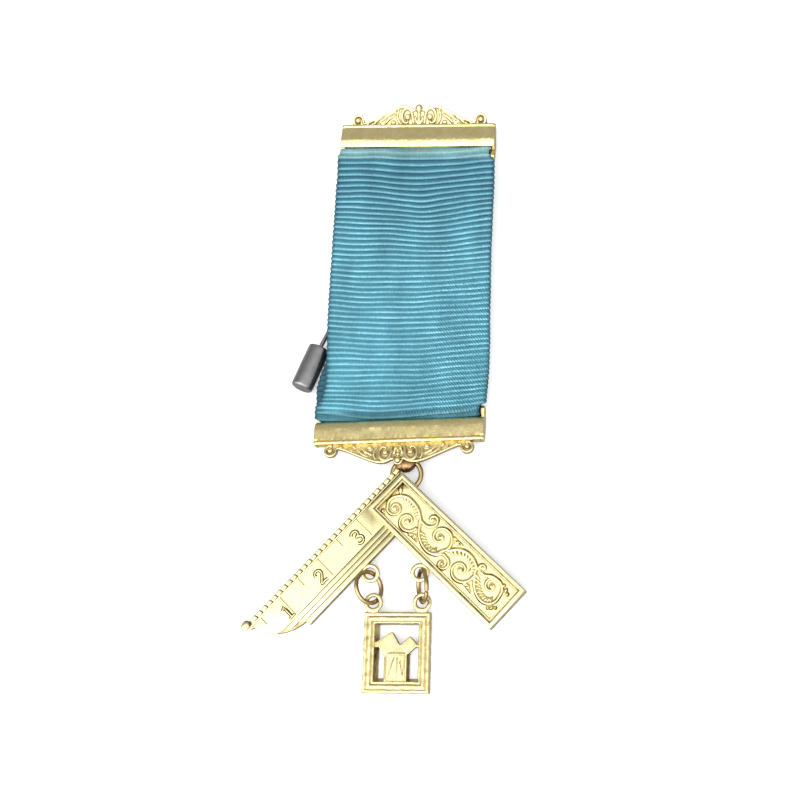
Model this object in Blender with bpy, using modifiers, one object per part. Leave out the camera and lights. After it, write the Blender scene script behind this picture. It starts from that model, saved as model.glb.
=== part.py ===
"""A past master's breast jewel, lying face up with its ribbon along Y and its brooch bar at +Y."""
import math

import bpy
import bmesh
from mathutils import Matrix, Vector

# All sizes are in metres and all angles in degrees. X points right, Y up the ribbon, Z off the table.
PIECE_GAP = 0.0003

# The two bars are one casting. Its own frame has the rod's axis along X, and Y towards the crest.
BAR_WIDTH = 0.0375
FACE_DEPTH = 0.0040
FACE_ROUND = 0.0016
FACE_ABOVE_ROD = 0.00275
ROD_TO_FACE = 0.0020
APRON_DROP = 0.0024
LIP_WIDTH = 0.00075
LIP_RISE = 0.0002
SHEET = 0.0010
EAR_THICKNESS = 0.0010
EAR_REACH = 0.0012
EAR_DROP = 0.00165
EAR_CORNER = 0.00054
EAR_SHOULDER = 0.00102
ROD_RADIUS = 0.0004
CREST_RISE = 0.0046
CREST_HALF_WIDTH = 0.0164
CREST_SET_BACK = 0.0010
CREST_THICKNESS = 0.0022
CREST_LEAN = 29.0
CREST_ROOT = 0.0005
RELIEF_RADIUS = 0.00034
END_CURL_RADIUS = 0.0014

# Where the rods lie on the table
UPPER_ROD_PLACE = (-0.0001, 0.0698, 0.0039)
UPPER_BAR_TURN = -2.6
LOWER_ROD_PLACE = (-0.0005, 0.0047, 0.00165)
LOWER_BAR_TURN = 2.0

# Ribbon: one doubled band of cloth looped round both rods
CLOTH_WALL = 0.0010
ROD_CLEARANCE = 0.00025
LAYER_GAP = 0.0003
RIBBON_WIDTH = 0.0380
RIBBON_SIDE_GAP = 0.00035
RIBBON_LIFT = 0.0022
# Shares of the ribbon's run: where it rides highest over the pin, how soon its layers close up past a rod,
# and where it starts and ends to narrow towards the ears
LIFT_PEAK = 0.31
PINCH_RUN = 0.12
TUCK_END = 0.025
TUCK_START = 0.075

# Suspension ring and its sleeve under the lower crest
RING_RADIUS = 0.00315
RING_WIRE = 0.00052
RING_PLACE = (0.00169, -0.00904, 0.00157)
RING_TILT = 4.5
SLEEVE_RADIUS = 0.0013
SLEEVE_FROM = 62.0
SLEEVE_TO = 122.0

# Square, in its own frame: X along the rule, Y along the box arm, Z up from the back, apex at zero
SQUARE_PLACE = (-0.00007, -0.00802)
SQUARE_TURN = 2.7
SQUARE_TILT = 4.4
RULE_LENGTH = 0.0460
RULE_WIDTH = 0.0101
RULE_THICKNESS = 0.0020
BOX_LENGTH = 0.0380
BOX_WIDTH = 0.01065
BOX_START = 0.00215
BOX_THICKNESS = 0.0034
BOX_BORDER = 0.0011
BOX_FLOOR = 0.0016
BOX_STEP = 0.00025
ROPE_WIDTH = 0.0014
ROPE_PITCH = 0.00145
GROOVE_RADIUS = 0.00018
NUMERAL_HEIGHT = 0.0030
NUMERAL_RADIUS = 0.00026
SCROLL_RADIUS = 0.00036
LEAF_RADIUS = 0.0002

# Eyes for the jump rings, flat on both the square and the plate
EYE_RADIUS = 0.0020
EYE_HOLE = 0.00125
EYE_THICKNESS = 0.0008
EYE_LEVEL = 0.00235
EYE_STAND_OFF = 0.0018
EYE_NECK_WIDTH = 0.0022
RULE_EYE_ALONG = 0.01978
BOX_EYE_ALONG = 0.01942

# Jump rings
JUMP_RADIUS = 0.00325
JUMP_WIRE = 0.00042
LEFT_FLOP = 50.0
RIGHT_FLOP = 66.0

# Proposition plate, in its own frame: X right, Y up, Z up from the back, middle at zero
PLATE_PLACE = (0.001845, -0.046466)
PLATE_TURN = 1.45
PLATE_TILT = 1.8
PLATE_WIDTH = 0.0138
PLATE_HEIGHT = 0.0161
PLATE_THICKNESS = 0.0020
PLATE_BORDER = 0.0024
PLATE_BEAD = 0.00036
FIGURE_THICKNESS = 0.0016
FIGURE_BOTTOM = 0.0003
EYE_SPREAD = 0.0102
EYE_REACH = 0.0019

# Pin and clutch
PIN_HEAD_PLACE = (0.00183, 0.07596)
PIN_RADIUS = 0.00047
PIN_POINT_PLACE = (-0.02319, 0.01303)
PIN_PAD_RADIUS = 0.0016
PIN_PAD_THICKNESS = 0.0007
CLUTCH_RADIUS = 0.00248
CLUTCH_LENGTH = 0.0104
CLUTCH_BORE = 0.0010
CLUTCH_WALL = 0.0013
CLUTCH_MOUTH_PLACE = (-0.0202, 0.0204)
CLUTCH_TURN = 18.6

# Edges of the ribbon's layers as shares of half its width. Columns: share along from the lower rod,
# front layer left, front layer right, back layer left, back layer right. The clutch pushes the left in.
RIBBON_EDGES = (
    (0.0, 0.95, 1.01, 1.03, 0.97), (0.1, 0.94, 1.015, 1.03, 0.96), (0.15, 0.935, 1.02, 0.985, 0.96),
    (0.2, 0.94, 1.02, 0.925, 0.96), (0.25, 0.945, 1.02, 0.895, 0.96), (0.33, 0.955, 1.01, 0.93, 0.97),
    (0.6, 1.0, 0.995, 0.98, 0.985), (0.86, 1.02, 1.0, 1.0, 0.99), (1.0, 1.01, 1.0, 1.0, 0.99),
)

# Outline of half the crest, from the middle out: share of its half width, share of its rise
CREST_OUTLINE = (
    (0.0, 1.0), (0.035, 0.97), (0.058, 0.87), (0.078, 0.77), (0.12, 0.83), (0.18, 0.9), (0.235, 0.915),
    (0.3, 0.88), (0.38, 0.79), (0.465, 0.67), (0.575, 0.51), (0.68, 0.35), (0.77, 0.23), (0.84, 0.18),
)
END_CURL_CENTRE = (0.912, 0.21)
# Leaves of the crest: foot across, foot up, tip across, tip up, as shares of half width and rise
CREST_LEAVES = (
    (0.38, 0.68, 0.45, 0.12), (0.455, 0.57, 0.535, 0.12), (0.53, 0.47, 0.615, 0.1), (0.605, 0.36, 0.69, 0.08),
)
# Round buds on the crest: across, up, radius as a share of the rise
CREST_BUDS = (
    (0.0, 0.72, 0.16), (0.0, 0.33, 0.13), (0.25, 0.36, 0.13), (0.765, 0.1, 0.07), (0.912, 0.21, 0.2),
)

# The rule's end, from the rope's tip to the inner edge: share of the length, share of the width
RULE_END = ((1.0, 0.0), (1.0, 0.14), (0.973, 0.19), (0.96, 0.36), (0.94, 0.53), (0.89, 0.73), (0.815, 0.87),
            (0.785, 0.89), (0.785, 1.0))
# Ticks: share of the rule's length, then where they end as a share of its width
RULE_TICKS = ((0.3, 0.66), (0.43, 0.36), (0.552, 0.66), (0.678, 0.36), (0.795, 0.66), (0.919, 0.36))
RULE_FACE_FROM = 0.15
# Mouldings inside the rule's face: middle as a share of the width, end as a share of the length, radius
RULE_MOULDINGS = ((0.755, 0.885, 0.00070), (0.925, 0.785, 0.00074))
# Numerals: place along the rule, place across it, and strokes in a box one unit high
NUMERALS = (
    (0.356, 0.458, ((-0.3, 0.42), (-0.05, 0.5), (0.22, 0.38), (0.2, 0.14), (-0.08, 0.05), (0.24, -0.08),
                    (0.28, -0.34), (0.0, -0.5), (-0.28, -0.4))),
    (0.599, 0.472, ((-0.28, 0.26), (-0.12, 0.48), (0.16, 0.46), (0.26, 0.22), (0.1, -0.06), (-0.28, -0.48),
                    (0.3, -0.48))),
    (0.817, 0.487, ((-0.18, 0.3), (0.04, 0.5), (0.04, -0.48))),
)

# Scrolls in the box arm. Each point is a share of the arm's width, then of its length.
SCROLL_STEMS = (
    ((0.72, 0.128), (0.6, 0.107), (0.47, 0.111), (0.35, 0.138), (0.28, 0.19), (0.3, 0.25), (0.43, 0.316)),
    ((0.41, 0.311), (0.62, 0.35), (0.74, 0.405), (0.76, 0.48), (0.66, 0.51), (0.48, 0.535)),
    ((0.44, 0.322), (0.43, 0.363), (0.36, 0.39), (0.26, 0.395), (0.2, 0.385)),
    ((0.49, 0.541), (0.37, 0.567), (0.27, 0.61), (0.26, 0.674), (0.33, 0.715), (0.42, 0.73)),
    ((0.39, 0.726), (0.58, 0.765), (0.7, 0.815), (0.72, 0.87), (0.62, 0.912), (0.4, 0.912)),
    ((0.75, 0.492), (0.66, 0.515), (0.62, 0.545), (0.66, 0.588)),
    ((0.44, 0.734), (0.34, 0.775), (0.25, 0.812), (0.23, 0.86), (0.26, 0.9)),
)
# Volutes: centre, start point, turns (minus is clockwise seen from above)
SCROLL_VOLUTES = (
    ((0.61, 0.16), (0.72, 0.128), 1.55),
    ((0.62, 0.263), (0.5, 0.325), -1.6),
    ((0.41, 0.459), (0.48, 0.535), 1.7),
    ((0.58, 0.664), (0.47, 0.738), -1.75),
    ((0.4, 0.846), (0.4, 0.912), 1.6),
    ((0.28, 0.363), (0.2, 0.385), 0.9),
    ((0.75, 0.566), (0.66, 0.588), -1.0),
    ((0.26, 0.745), (0.36, 0.74), -1.0),
)
# Leaf combs: the stem they grow from, first and last share of it, count, point they lean to
SCROLL_COMBS = (
    (0, 0.5, 0.98, 6, (0.5, 0.21)),
    (1, 0.3, 0.78, 5, (0.5, 0.43)),
    (3, 0.1, 0.95, 7, (0.58, 0.664)),
    (4, 0.1, 0.72, 7, (0.42, 0.84)),
)
LEAF_LENGTH = 0.0010
# Buds: across, along, half length across and along the arm, as shares of the arm's width
SCROLL_BUDS = (
    (0.26, 0.108, 0.09, 0.05), (0.82, 0.118, 0.05, 0.06), (0.26, 0.915, 0.08, 0.06), (0.7, 0.905, 0.07, 0.06),
    (0.755, 0.347, 0.06, 0.08), (0.235, 0.55, 0.05, 0.09), (0.735, 0.755, 0.05, 0.09),
)

# Squares of the proposition: middle across and up, width and height as shares of the plate, turn
FIGURE_SQUARES = (
    (0.0, -0.19, 0.36, 0.36, 0.0),
    (-0.13, 0.11, 0.285, 0.185, 31.0),
    (0.185, 0.087, 0.165, 0.12, 41.0),
)
# Lines cut in the figure: from and to, as shares of the plate's width and height
FIGURE_LINES = (
    ((0.02, -0.06), (0.02, -0.35)), ((-0.03, -0.06), (-0.13, -0.34)),
    ((0.06, -0.1), (0.1, -0.28)), ((-0.29, 0.1), (-0.11, 0.04)),
)
# Ties that hold the figure to the frame: near and far end as shares of half the width, foot and top of height
FIGURE_TIE = (0.56, 0.8, 0.075, 0.115)


# Collections and materials

def start_scene():
    for item in list(bpy.data.objects):
        bpy.data.objects.remove(item)
    collections = []
    for name in ("masonic_jewel", "cutters"):
        collection = bpy.data.collections.new(name)
        bpy.context.scene.collection.children.link(collection)
        collections.append(collection)
    return collections


def finish_material(name, colour, roughness):
    material = bpy.data.materials.new(name)
    material.use_nodes = True
    shader = material.node_tree.nodes["Principled BSDF"]
    shader.inputs["Base Color"].default_value = (*colour, 1.0)
    shader.inputs["Roughness"].default_value = roughness
    shader.inputs["Metallic"].default_value = 0.0 if name == "ribbon_silk" else 1.0
    return material


# Shapes

def move_to(item, collection):
    for home in list(item.users_collection):
        home.objects.unlink(item)
    collection.objects.link(item)


def close_mesh(mesh, matrix=None):
    shape = bmesh.new()
    shape.from_mesh(mesh)
    bmesh.ops.remove_doubles(shape, verts=shape.verts, dist=0.000001)
    if matrix is not None:
        bmesh.ops.transform(shape, matrix=matrix, verts=shape.verts)
    bmesh.ops.recalc_face_normals(shape, faces=shape.faces)
    shape.to_mesh(mesh)
    shape.free()


def curve_to_solid(name, curve, matrix=None):
    """Turn a curve into a welded mesh object and remove the curve."""
    guide = bpy.data.objects.new(name + "_guide", curve)
    bpy.context.scene.collection.objects.link(guide)
    graph = bpy.context.evaluated_depsgraph_get()
    mesh = bpy.data.meshes.new_from_object(guide.evaluated_get(graph))
    close_mesh(mesh, matrix)
    solid = bpy.data.objects.new(name, mesh)
    solid.matrix_world = guide.matrix_world
    bpy.data.objects.remove(guide)
    bpy.context.scene.collection.objects.link(solid)
    return solid


def add_spline(curve, points, closed):
    spline = curve.splines.new("POLY")
    spline.points.add(len(points) - 1)
    for slot, point in zip(spline.points, points):
        slot.co = (*point, 0.0, 1.0) if len(point) == 2 else (*point, 1.0)
    spline.use_cyclic_u = closed


def outline_solid(name, loops, bottom, top, matrix=None):
    curve = bpy.data.curves.new(name, "CURVE")
    curve.dimensions = "2D"
    curve.fill_mode = "BOTH"
    curve.extrude = (top - bottom) / 2
    for loop in loops:
        add_spline(curve, loop, True)
    lift = Matrix.Translation((0, 0, (top + bottom) / 2))
    return curve_to_solid(name, curve, lift if matrix is None else matrix @ lift)


def wire_solid(name, points, radius, resolution=1, closed=False, matrix=None):
    curve = bpy.data.curves.new(name, "CURVE")
    curve.dimensions = "3D"
    curve.bevel_depth = radius
    curve.bevel_resolution = resolution
    curve.use_fill_caps = True
    add_spline(curve, points, closed)
    return curve_to_solid(name, curve, matrix)


def primitive_solid(name, matrix, make):
    """Run one of the mesh primitive makers and bake its place into the mesh."""
    make()
    solid = bpy.context.active_object
    solid.name = name
    move_to(solid, bpy.context.scene.collection)
    close_mesh(solid.data, matrix)
    return solid


def block(name, low, high, matrix=Matrix.Identity(4)):
    middle = (Vector(low) + Vector(high)) / 2
    size = Vector(high) - Vector(low)
    place = matrix @ Matrix.Translation(middle) @ Matrix.Diagonal((*size, 1.0))
    return primitive_solid(name, place, lambda: bpy.ops.mesh.primitive_cube_add(size=1.0))


def ball(name, centre, radii, segments=8, rings=6, matrix=Matrix.Identity(4)):
    place = matrix @ Matrix.Translation(centre) @ Matrix.Diagonal((*radii, 1.0))
    return primitive_solid(name, place, lambda: bpy.ops.mesh.primitive_uv_sphere_add(
        radius=1.0, segments=segments, ring_count=rings))


def cylinder(name, centre, radius, depth, sides, matrix=Matrix.Identity(4)):
    place = matrix @ Matrix.Translation(centre)
    return primitive_solid(name, place, lambda: bpy.ops.mesh.primitive_cylinder_add(
        radius=radius, depth=depth, vertices=sides))


def torus(name, radius, wire, matrix, segments=24, sides=6):
    return primitive_solid(name, matrix, lambda: bpy.ops.mesh.primitive_torus_add(
        major_radius=radius, minor_radius=wire, major_segments=segments, minor_segments=sides))


def fuse(solid, others):
    """Join the other solids to the first with one Boolean union and remove them."""
    group = bpy.data.collections.new(solid.name + "_parts")
    bpy.context.scene.collection.children.link(group)
    for other in others:
        move_to(other, group)
    union = solid.modifiers.new("join", "BOOLEAN")
    union.operation = "UNION"
    union.solver = "EXACT"
    union.operand_type = "COLLECTION"
    union.collection = group
    graph = bpy.context.evaluated_depsgraph_get()
    mesh = bpy.data.meshes.new_from_object(solid.evaluated_get(graph))
    solid.modifiers.clear()
    solid.data = mesh
    for other in others:
        bpy.data.objects.remove(other)
    bpy.data.collections.remove(group)
    close_mesh(solid.data)
    return solid


def cut_with(solid, cutters, shelf):
    """Give the solid a live Boolean for its cutters, which ride on it and stay out of the render."""
    group = bpy.data.collections.new(solid.name + "_cutters")
    shelf.children.link(group)
    for cutter in cutters:
        move_to(cutter, group)
        cutter.parent = solid
        cutter.hide_render = True
        cutter.display_type = "WIRE"
    difference = solid.modifiers.new("cut", "BOOLEAN")
    difference.operation = "DIFFERENCE"
    difference.solver = "EXACT"
    difference.operand_type = "COLLECTION"
    difference.collection = group
    return solid


# Lines that follow a rule

def arc(centre, radius, start, end, steps):
    points = []
    for step in range(steps + 1):
        angle = math.radians(start + (end - start) * step / steps)
        points.append((centre[0] + radius * math.cos(angle), centre[1] + radius * math.sin(angle)))
    return points


def smooth_line(points, steps):
    """A Catmull-Rom line through the points, with the ends kept."""
    rows = [Vector(point) for point in points]
    rows = [2 * rows[0] - rows[1]] + rows + [2 * rows[-1] - rows[-2]]
    line = []
    for index in range(1, len(rows) - 2):
        before, start, end, after = rows[index - 1:index + 3]
        for step in range(steps):
            t = step / steps
            line.append(0.5 * (2 * start + (end - before) * t
                               + (2 * before - 5 * start + 4 * end - after) * t * t
                               + (3 * start - before - 3 * end + after) * t ** 3))
    line.append(rows[-2])
    return line


def volute_line(centre, start, turns, end_radius, steps_per_turn=10):
    reach = Vector(start) - Vector(centre)
    first_angle = math.atan2(reach.y, reach.x)
    count = max(4, round(abs(turns) * steps_per_turn))
    line = []
    for step in range(count + 1):
        t = step / count
        radius = reach.length * (1 - t) ** 0.9 + end_radius * (1 - (1 - t) ** 0.9)
        angle = first_angle + turns * 2 * math.pi * t
        line.append(Vector((centre[0] + radius * math.cos(angle), centre[1] + radius * math.sin(angle))))
    return line


def at_height(points, height):
    return [(point[0], point[1], height) for point in points]


def place_matrix(place, turn=0.0, tilt=0.0):
    return (Matrix.Translation(place) @ Matrix.Rotation(math.radians(turn), 4, "Z")
            @ Matrix.Rotation(math.radians(tilt), 4, "X"))


# Places of the pieces that others line up with

upper_bar_matrix = place_matrix(UPPER_ROD_PLACE, UPPER_BAR_TURN)
lower_bar_matrix = place_matrix(LOWER_ROD_PLACE, LOWER_BAR_TURN + 180.0)
ring_matrix = place_matrix(RING_PLACE, 0.0, RING_TILT)
# The box arm's outer corner is the lowest point of the square and sets how high the apex lies.
square_apex_height = math.sin(math.radians(SQUARE_TILT)) * (BOX_LENGTH + BOX_WIDTH) * math.sqrt(0.5)
square_tilt_matrix = place_matrix((*SQUARE_PLACE, square_apex_height), SQUARE_TURN, SQUARE_TILT)
square_matrix = square_tilt_matrix @ Matrix.Rotation(math.radians(225.0), 4, "Z")
plate_height = math.sin(math.radians(PLATE_TILT)) * PLATE_HEIGHT / 2
plate_matrix = place_matrix((*PLATE_PLACE, plate_height), PLATE_TURN, PLATE_TILT)
crest_foot = ROD_TO_FACE + FACE_DEPTH + LIP_WIDTH
crest_front = FACE_ABOVE_ROD - CREST_SET_BACK
# The wall behind the lip ends a little below the crest's back, so that the two overlap cleanly.
wall_end = crest_front - CREST_THICKNESS - CREST_SET_BACK / 8


# Bars

def bar_front_line():
    """The visible section of the bar: round lower edge, flat face, lip."""
    round_centre = (ROD_TO_FACE + FACE_ROUND, FACE_ABOVE_ROD - FACE_ROUND)
    lip_start = ROD_TO_FACE + FACE_DEPTH
    line = arc(round_centre, FACE_ROUND, 180, 90, 5)
    for point in arc((0.0, 0.0), 1.0, 180, 0, 4):
        line.append((lip_start + (1 + point[0]) * LIP_WIDTH / 2, FACE_ABOVE_ROD + point[1] * LIP_RISE))
    return line


def section_to_bar(x):
    """Stand a (y, z) outline up, so that its thickness runs along X about x."""
    return Matrix(((0, 0, 1, x), (1, 0, 0, 0), (0, 1, 0, 0), (0, 0, 0, 1)))


def bar_shell(name):
    inside_top = FACE_ABOVE_ROD - SHEET
    apron = FACE_ABOVE_ROD - APRON_DROP
    outline = [(ROD_TO_FACE, apron)] + bar_front_line()
    outline += [(crest_foot, wall_end), (crest_foot - SHEET, wall_end), (crest_foot - SHEET, inside_top)]
    outline += [(ROD_TO_FACE + SHEET + FACE_ROUND / 2, inside_top)]
    outline += [(ROD_TO_FACE + SHEET, inside_top - FACE_ROUND / 2), (ROD_TO_FACE + SHEET, apron)]
    half = (BAR_WIDTH - EAR_THICKNESS) / 2
    return outline_solid(name, [outline], -half, half, section_to_bar(0.0))


def bar_ear(side):
    outline = [(EAR_CORNER - EAR_REACH, -EAR_DROP), (-EAR_REACH, EAR_CORNER - EAR_DROP)]
    outline += [(-EAR_REACH, ROD_RADIUS), (-EAR_REACH / 2, EAR_SHOULDER)] + bar_front_line()
    outline += [(crest_foot, wall_end), (ROD_TO_FACE + EAR_REACH, -EAR_DROP)]
    middle = side * (BAR_WIDTH - EAR_THICKNESS) / 2
    return outline_solid("ear", [outline], -EAR_THICKNESS / 2, EAR_THICKNESS / 2, section_to_bar(middle))


def crest_point(across, up):
    return Vector((across * CREST_HALF_WIDTH, crest_foot + up * CREST_RISE))


def crest_plate():
    right = [crest_point(*row) for row in CREST_OUTLINE]
    root = crest_foot - CREST_ROOT
    outline = [tuple(point) for point in right] + [(CREST_HALF_WIDTH * 0.97, root)]
    outline += [(-x, y) for x, y in reversed(outline[1:])]
    return outline_solid("crest", [outline], crest_front - CREST_THICKNESS, crest_front)


def crest_relief():
    pieces = []
    back_half = CREST_THICKNESS / 2
    for side in (-1, 1):
        curl = crest_point(side * END_CURL_CENTRE[0], END_CURL_CENTRE[1])
        curl_middle = (curl.x, curl.y, crest_front - back_half)
        pieces.append(cylinder("end_curl", curl_middle, END_CURL_RADIUS, CREST_THICKNESS * 0.96, 14))
        rim = arc(curl, END_CURL_RADIUS - RELIEF_RADIUS * 0.8, 90 - side * 100, 90 + side * 190, 11)
        pieces.append(wire_solid("curl_rim", at_height(rim, crest_front), RELIEF_RADIUS * 0.8))
        centre = crest_point(side * 0.235, 0.42)
        start = crest_point(side * 0.13, 0.14)
        line = volute_line(centre, start, -side * 1.5, CREST_RISE * 0.1)
        pieces.append(wire_solid("volute", at_height(line, crest_front), RELIEF_RADIUS))
        brow = smooth_line([crest_point(side * across, up) for across, up in
                            ((0.33, 0.76), (0.46, 0.56), (0.6, 0.36), (0.73, 0.2), (0.84, 0.1))], 2)
        pieces.append(wire_solid("brow", at_height(brow, crest_front), RELIEF_RADIUS * 0.85))
        for foot_x, foot_y, tip_x, tip_y in CREST_LEAVES:
            leaf = [crest_point(side * foot_x, foot_y), crest_point(side * tip_x, tip_y)]
            pieces.append(wire_solid("leaf", at_height(leaf, crest_front), RELIEF_RADIUS * 0.8))
    for across, up, share in CREST_BUDS:
        radius = share * CREST_RISE
        for side in ((-1, 1) if across else (1,)):
            point = crest_point(side * across, up)
            pieces.append(ball("bud", (point.x, point.y, crest_front), (radius, radius * 1.1, radius)))
    return pieces


def lean_forward(solid):
    """Shear the crest so that its free edge rises towards the viewer."""
    slope = math.tan(math.radians(CREST_LEAN))
    for vertex in solid.data.vertices:
        vertex.co.z += slope * (vertex.co.y - crest_foot)


def bar_casting(name, extras, cutters, shelf, material):
    crest = fuse(crest_plate(), crest_relief())
    lean_forward(crest)
    bar = fuse(bar_shell(name), [bar_ear(-1), bar_ear(1), crest] + extras)
    bar.data.materials.clear()
    bar.data.materials.append(material)
    across = Matrix.Rotation(math.radians(90), 4, "Y")
    bores = [cylinder(name + "_bore", (0, 0, 0), ROD_RADIUS + PIECE_GAP, BAR_WIDTH * 1.1, 10, across)]
    cut_with(bar, bores + cutters, shelf)
    return bar


def hanger():
    """The sleeve that follows the suspension ring, and the lug that ties it to the lower crest."""
    to_bar = lower_bar_matrix.inverted() @ ring_matrix
    line = at_height(arc((0, 0), RING_RADIUS, SLEEVE_FROM, SLEEVE_TO, 6), 0.0)
    sleeve = wire_solid("sleeve", line, SLEEVE_RADIUS, 2, False, to_bar)
    top = RING_RADIUS + SLEEVE_RADIUS * 0.35
    half = SLEEVE_RADIUS * 0.9
    rise = FACE_ABOVE_ROD - CREST_SET_BACK
    lug = block("lug", (-half, top - SLEEVE_RADIUS * 0.45, SLEEVE_RADIUS * 0.3),
                (half, top + SLEEVE_RADIUS * 0.75, SLEEVE_RADIUS * 0.3 + rise), to_bar)
    passage = torus("ring_passage", RING_RADIUS, RING_WIRE + PIECE_GAP, to_bar, 32, 8)
    return [sleeve, lug], [passage]


# Rods and ribbon

def rod(name, material, matrix):
    across = Matrix.Rotation(math.radians(90), 4, "Y")
    piece = cylinder(name, (0, 0, 0), ROD_RADIUS, BAR_WIDTH - PIECE_GAP, 10, across)
    piece.data.materials.append(material)
    piece.matrix_world = matrix
    return piece


def ribbon_place(along, ahead, across, height):
    """A point of the ribbon: along runs 0 to 1 from the lower rod to the upper, and the rest in metres."""
    low = Vector(LOWER_ROD_PLACE)
    high = Vector(UPPER_ROD_PLACE)
    turn = math.radians(LOWER_BAR_TURN + (UPPER_BAR_TURN - LOWER_BAR_TURN) * along)
    middle = low.lerp(high, along)
    x = middle.x + across * math.cos(turn) - ahead * math.sin(turn)
    y = middle.y + across * math.sin(turn) + ahead * math.cos(turn)
    return Vector((x, y, middle.z + height + pin_lift(along, across)))


def pin_lift(along, across):
    """The left side of the ribbon rides over the pin, most where the pin comes out from under it."""
    if not 0.0 < along < 1.0:
        return 0.0
    span = 1 - LIFT_PEAK if along > LIFT_PEAK else LIFT_PEAK
    share = abs(along - LIFT_PEAK) / span
    lean = min(max(0.3 - across / RIBBON_WIDTH * 1.4, 0.0), 1.0)
    return RIBBON_LIFT * math.cos(share * math.pi / 2) * lean


def ribbon_stations():
    """Once round the band: share along, distance past the rod, height above it, way out as an angle."""
    loop = ROD_RADIUS + ROD_CLEARANCE + CLOTH_WALL / 2
    flat = (LAYER_GAP + CLOTH_WALL) / 2
    shares = (0.0, 0.03, 0.07, 0.12, 0.16, 0.2, 0.25, 0.31, 0.42, 0.55, 0.7, 0.82, 0.9, 0.95, 1.0)
    stations = []
    for layer in (1, -1):
        for share in (shares if layer > 0 else shares[::-1]):
            pinch = max(0.0, 1 - min(share, 1 - share) / PINCH_RUN)
            half = flat + (loop - flat) * pinch * pinch * (3 - 2 * pinch)
            stations.append((share, 0.0, layer * half, 90 * layer))
        centre = 1.0 if layer > 0 else 0.0
        for step in range(1, 6):
            angle = 90 - 30 * step if layer > 0 else 270 - 30 * step
            lie = math.radians(angle)
            stations.append((centre, loop * math.cos(lie), loop * math.sin(lie), angle))
    return stations


def ribbon_half_width(share, side, front):
    """How far one edge of a layer stands from the middle, drawn in between the ears at both rods."""
    column = (1 if front else 3) + (1 if side > 0 else 0)
    rows = RIBBON_EDGES
    index = max(i for i in range(len(rows) - 1) if rows[i][0] <= share)
    low, high = rows[index], rows[index + 1]
    mix = (share - low[0]) / (high[0] - low[0])
    full = RIBBON_WIDTH / 2 * (low[column] + (high[column] - low[column]) * mix)
    narrow = BAR_WIDTH / 2 - EAR_THICKNESS - RIBBON_SIDE_GAP
    blend = min(max((min(share, 1 - share) - TUCK_END) / (TUCK_START - TUCK_END), 0.0), 1.0)
    return narrow + (full - narrow) * blend * blend * (3 - 2 * blend)


def make_ribbon(material):
    """A loft of the band's wall: outer and inner skin at each station, and both selvedges."""
    shape = bmesh.new()
    columns = (-1.0, -0.66, -0.33, 0.0, 0.33, 0.66, 1.0)
    rings = []
    for share, ahead, height, angle in ribbon_stations():
        ring = []
        for skin in (1, -1):
            reach = skin * CLOTH_WALL / 2
            out_y = ahead + reach * math.cos(math.radians(angle))
            out_z = height + reach * math.sin(math.radians(angle))
            for column in (columns if skin > 0 else columns[::-1]):
                across = column * ribbon_half_width(share, column, angle > 0)
                ring.append(shape.verts.new(ribbon_place(share, out_y, across, out_z)))
        rings.append(ring)
    for index, ring in enumerate(rings):
        following = rings[(index + 1) % len(rings)]
        for corner in range(len(ring)):
            after = (corner + 1) % len(ring)
            shape.faces.new((ring[corner], ring[after], following[after], following[corner]))
    bmesh.ops.recalc_face_normals(shape, faces=shape.faces)
    bmesh.ops.triangulate(shape, faces=shape.faces)
    mesh = bpy.data.meshes.new("ribbon")
    shape.to_mesh(mesh)
    shape.free()
    mesh.materials.append(material)
    ribbon = bpy.data.objects.new("ribbon", mesh)
    bpy.context.scene.collection.objects.link(ribbon)
    return ribbon


# Square

def box_point(across, along):
    return Vector((across * BOX_WIDTH, along * BOX_LENGTH))


def rule_body():
    end = [(along * RULE_LENGTH, across * RULE_WIDTH) for along, across in RULE_END]
    base = outline_solid("square", [[(0, 0)] + end + [(0, RULE_WIDTH)]], 0.0, RULE_THICKNESS * 0.65)
    face_start = RULE_FACE_FROM * RULE_WIDTH
    inset = [(x - ROPE_WIDTH * 0.1, y) for x, y in end[2:]]
    first = (end[2][0] - ROPE_WIDTH * 0.1, face_start)
    face = outline_solid("face", [[(PIECE_GAP, face_start), first] + inset + [(PIECE_GAP, RULE_WIDTH)]],
                         RULE_THICKNESS * 0.4, RULE_THICKNESS)
    return base, face


def rule_details():
    pieces = []
    for across, along, radius in RULE_MOULDINGS:
        y = across * RULE_WIDTH
        height = RULE_THICKNESS - radius * 0.1
        line = [(BOX_WIDTH - BOX_BORDER / 2, y, height), (along * RULE_LENGTH - radius, y, height)]
        pieces.append(wire_solid("moulding", line, radius, 2))
    count = round((RULE_LENGTH - 3 * ROPE_WIDTH) / ROPE_PITCH)
    pitch = (RULE_LENGTH - 3 * ROPE_WIDTH) / count
    size = (pitch * 0.54, ROPE_WIDTH * 0.52, RULE_THICKNESS * 0.42)
    for index in range(count):
        centre = (1.6 * ROPE_WIDTH + index * pitch, ROPE_WIDTH / 2, RULE_THICKNESS * 0.66)
        pieces.append(ball("rope_bead", centre, size, 8, 5))
    end = (RULE_LENGTH - ROPE_WIDTH * 0.62, ROPE_WIDTH / 2, RULE_THICKNESS * 0.6)
    pieces.append(ball("rope_end", end, (ROPE_WIDTH * 0.68, ROPE_WIDTH * 0.68, RULE_THICKNESS * 0.5), 10, 6))
    return pieces


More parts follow.
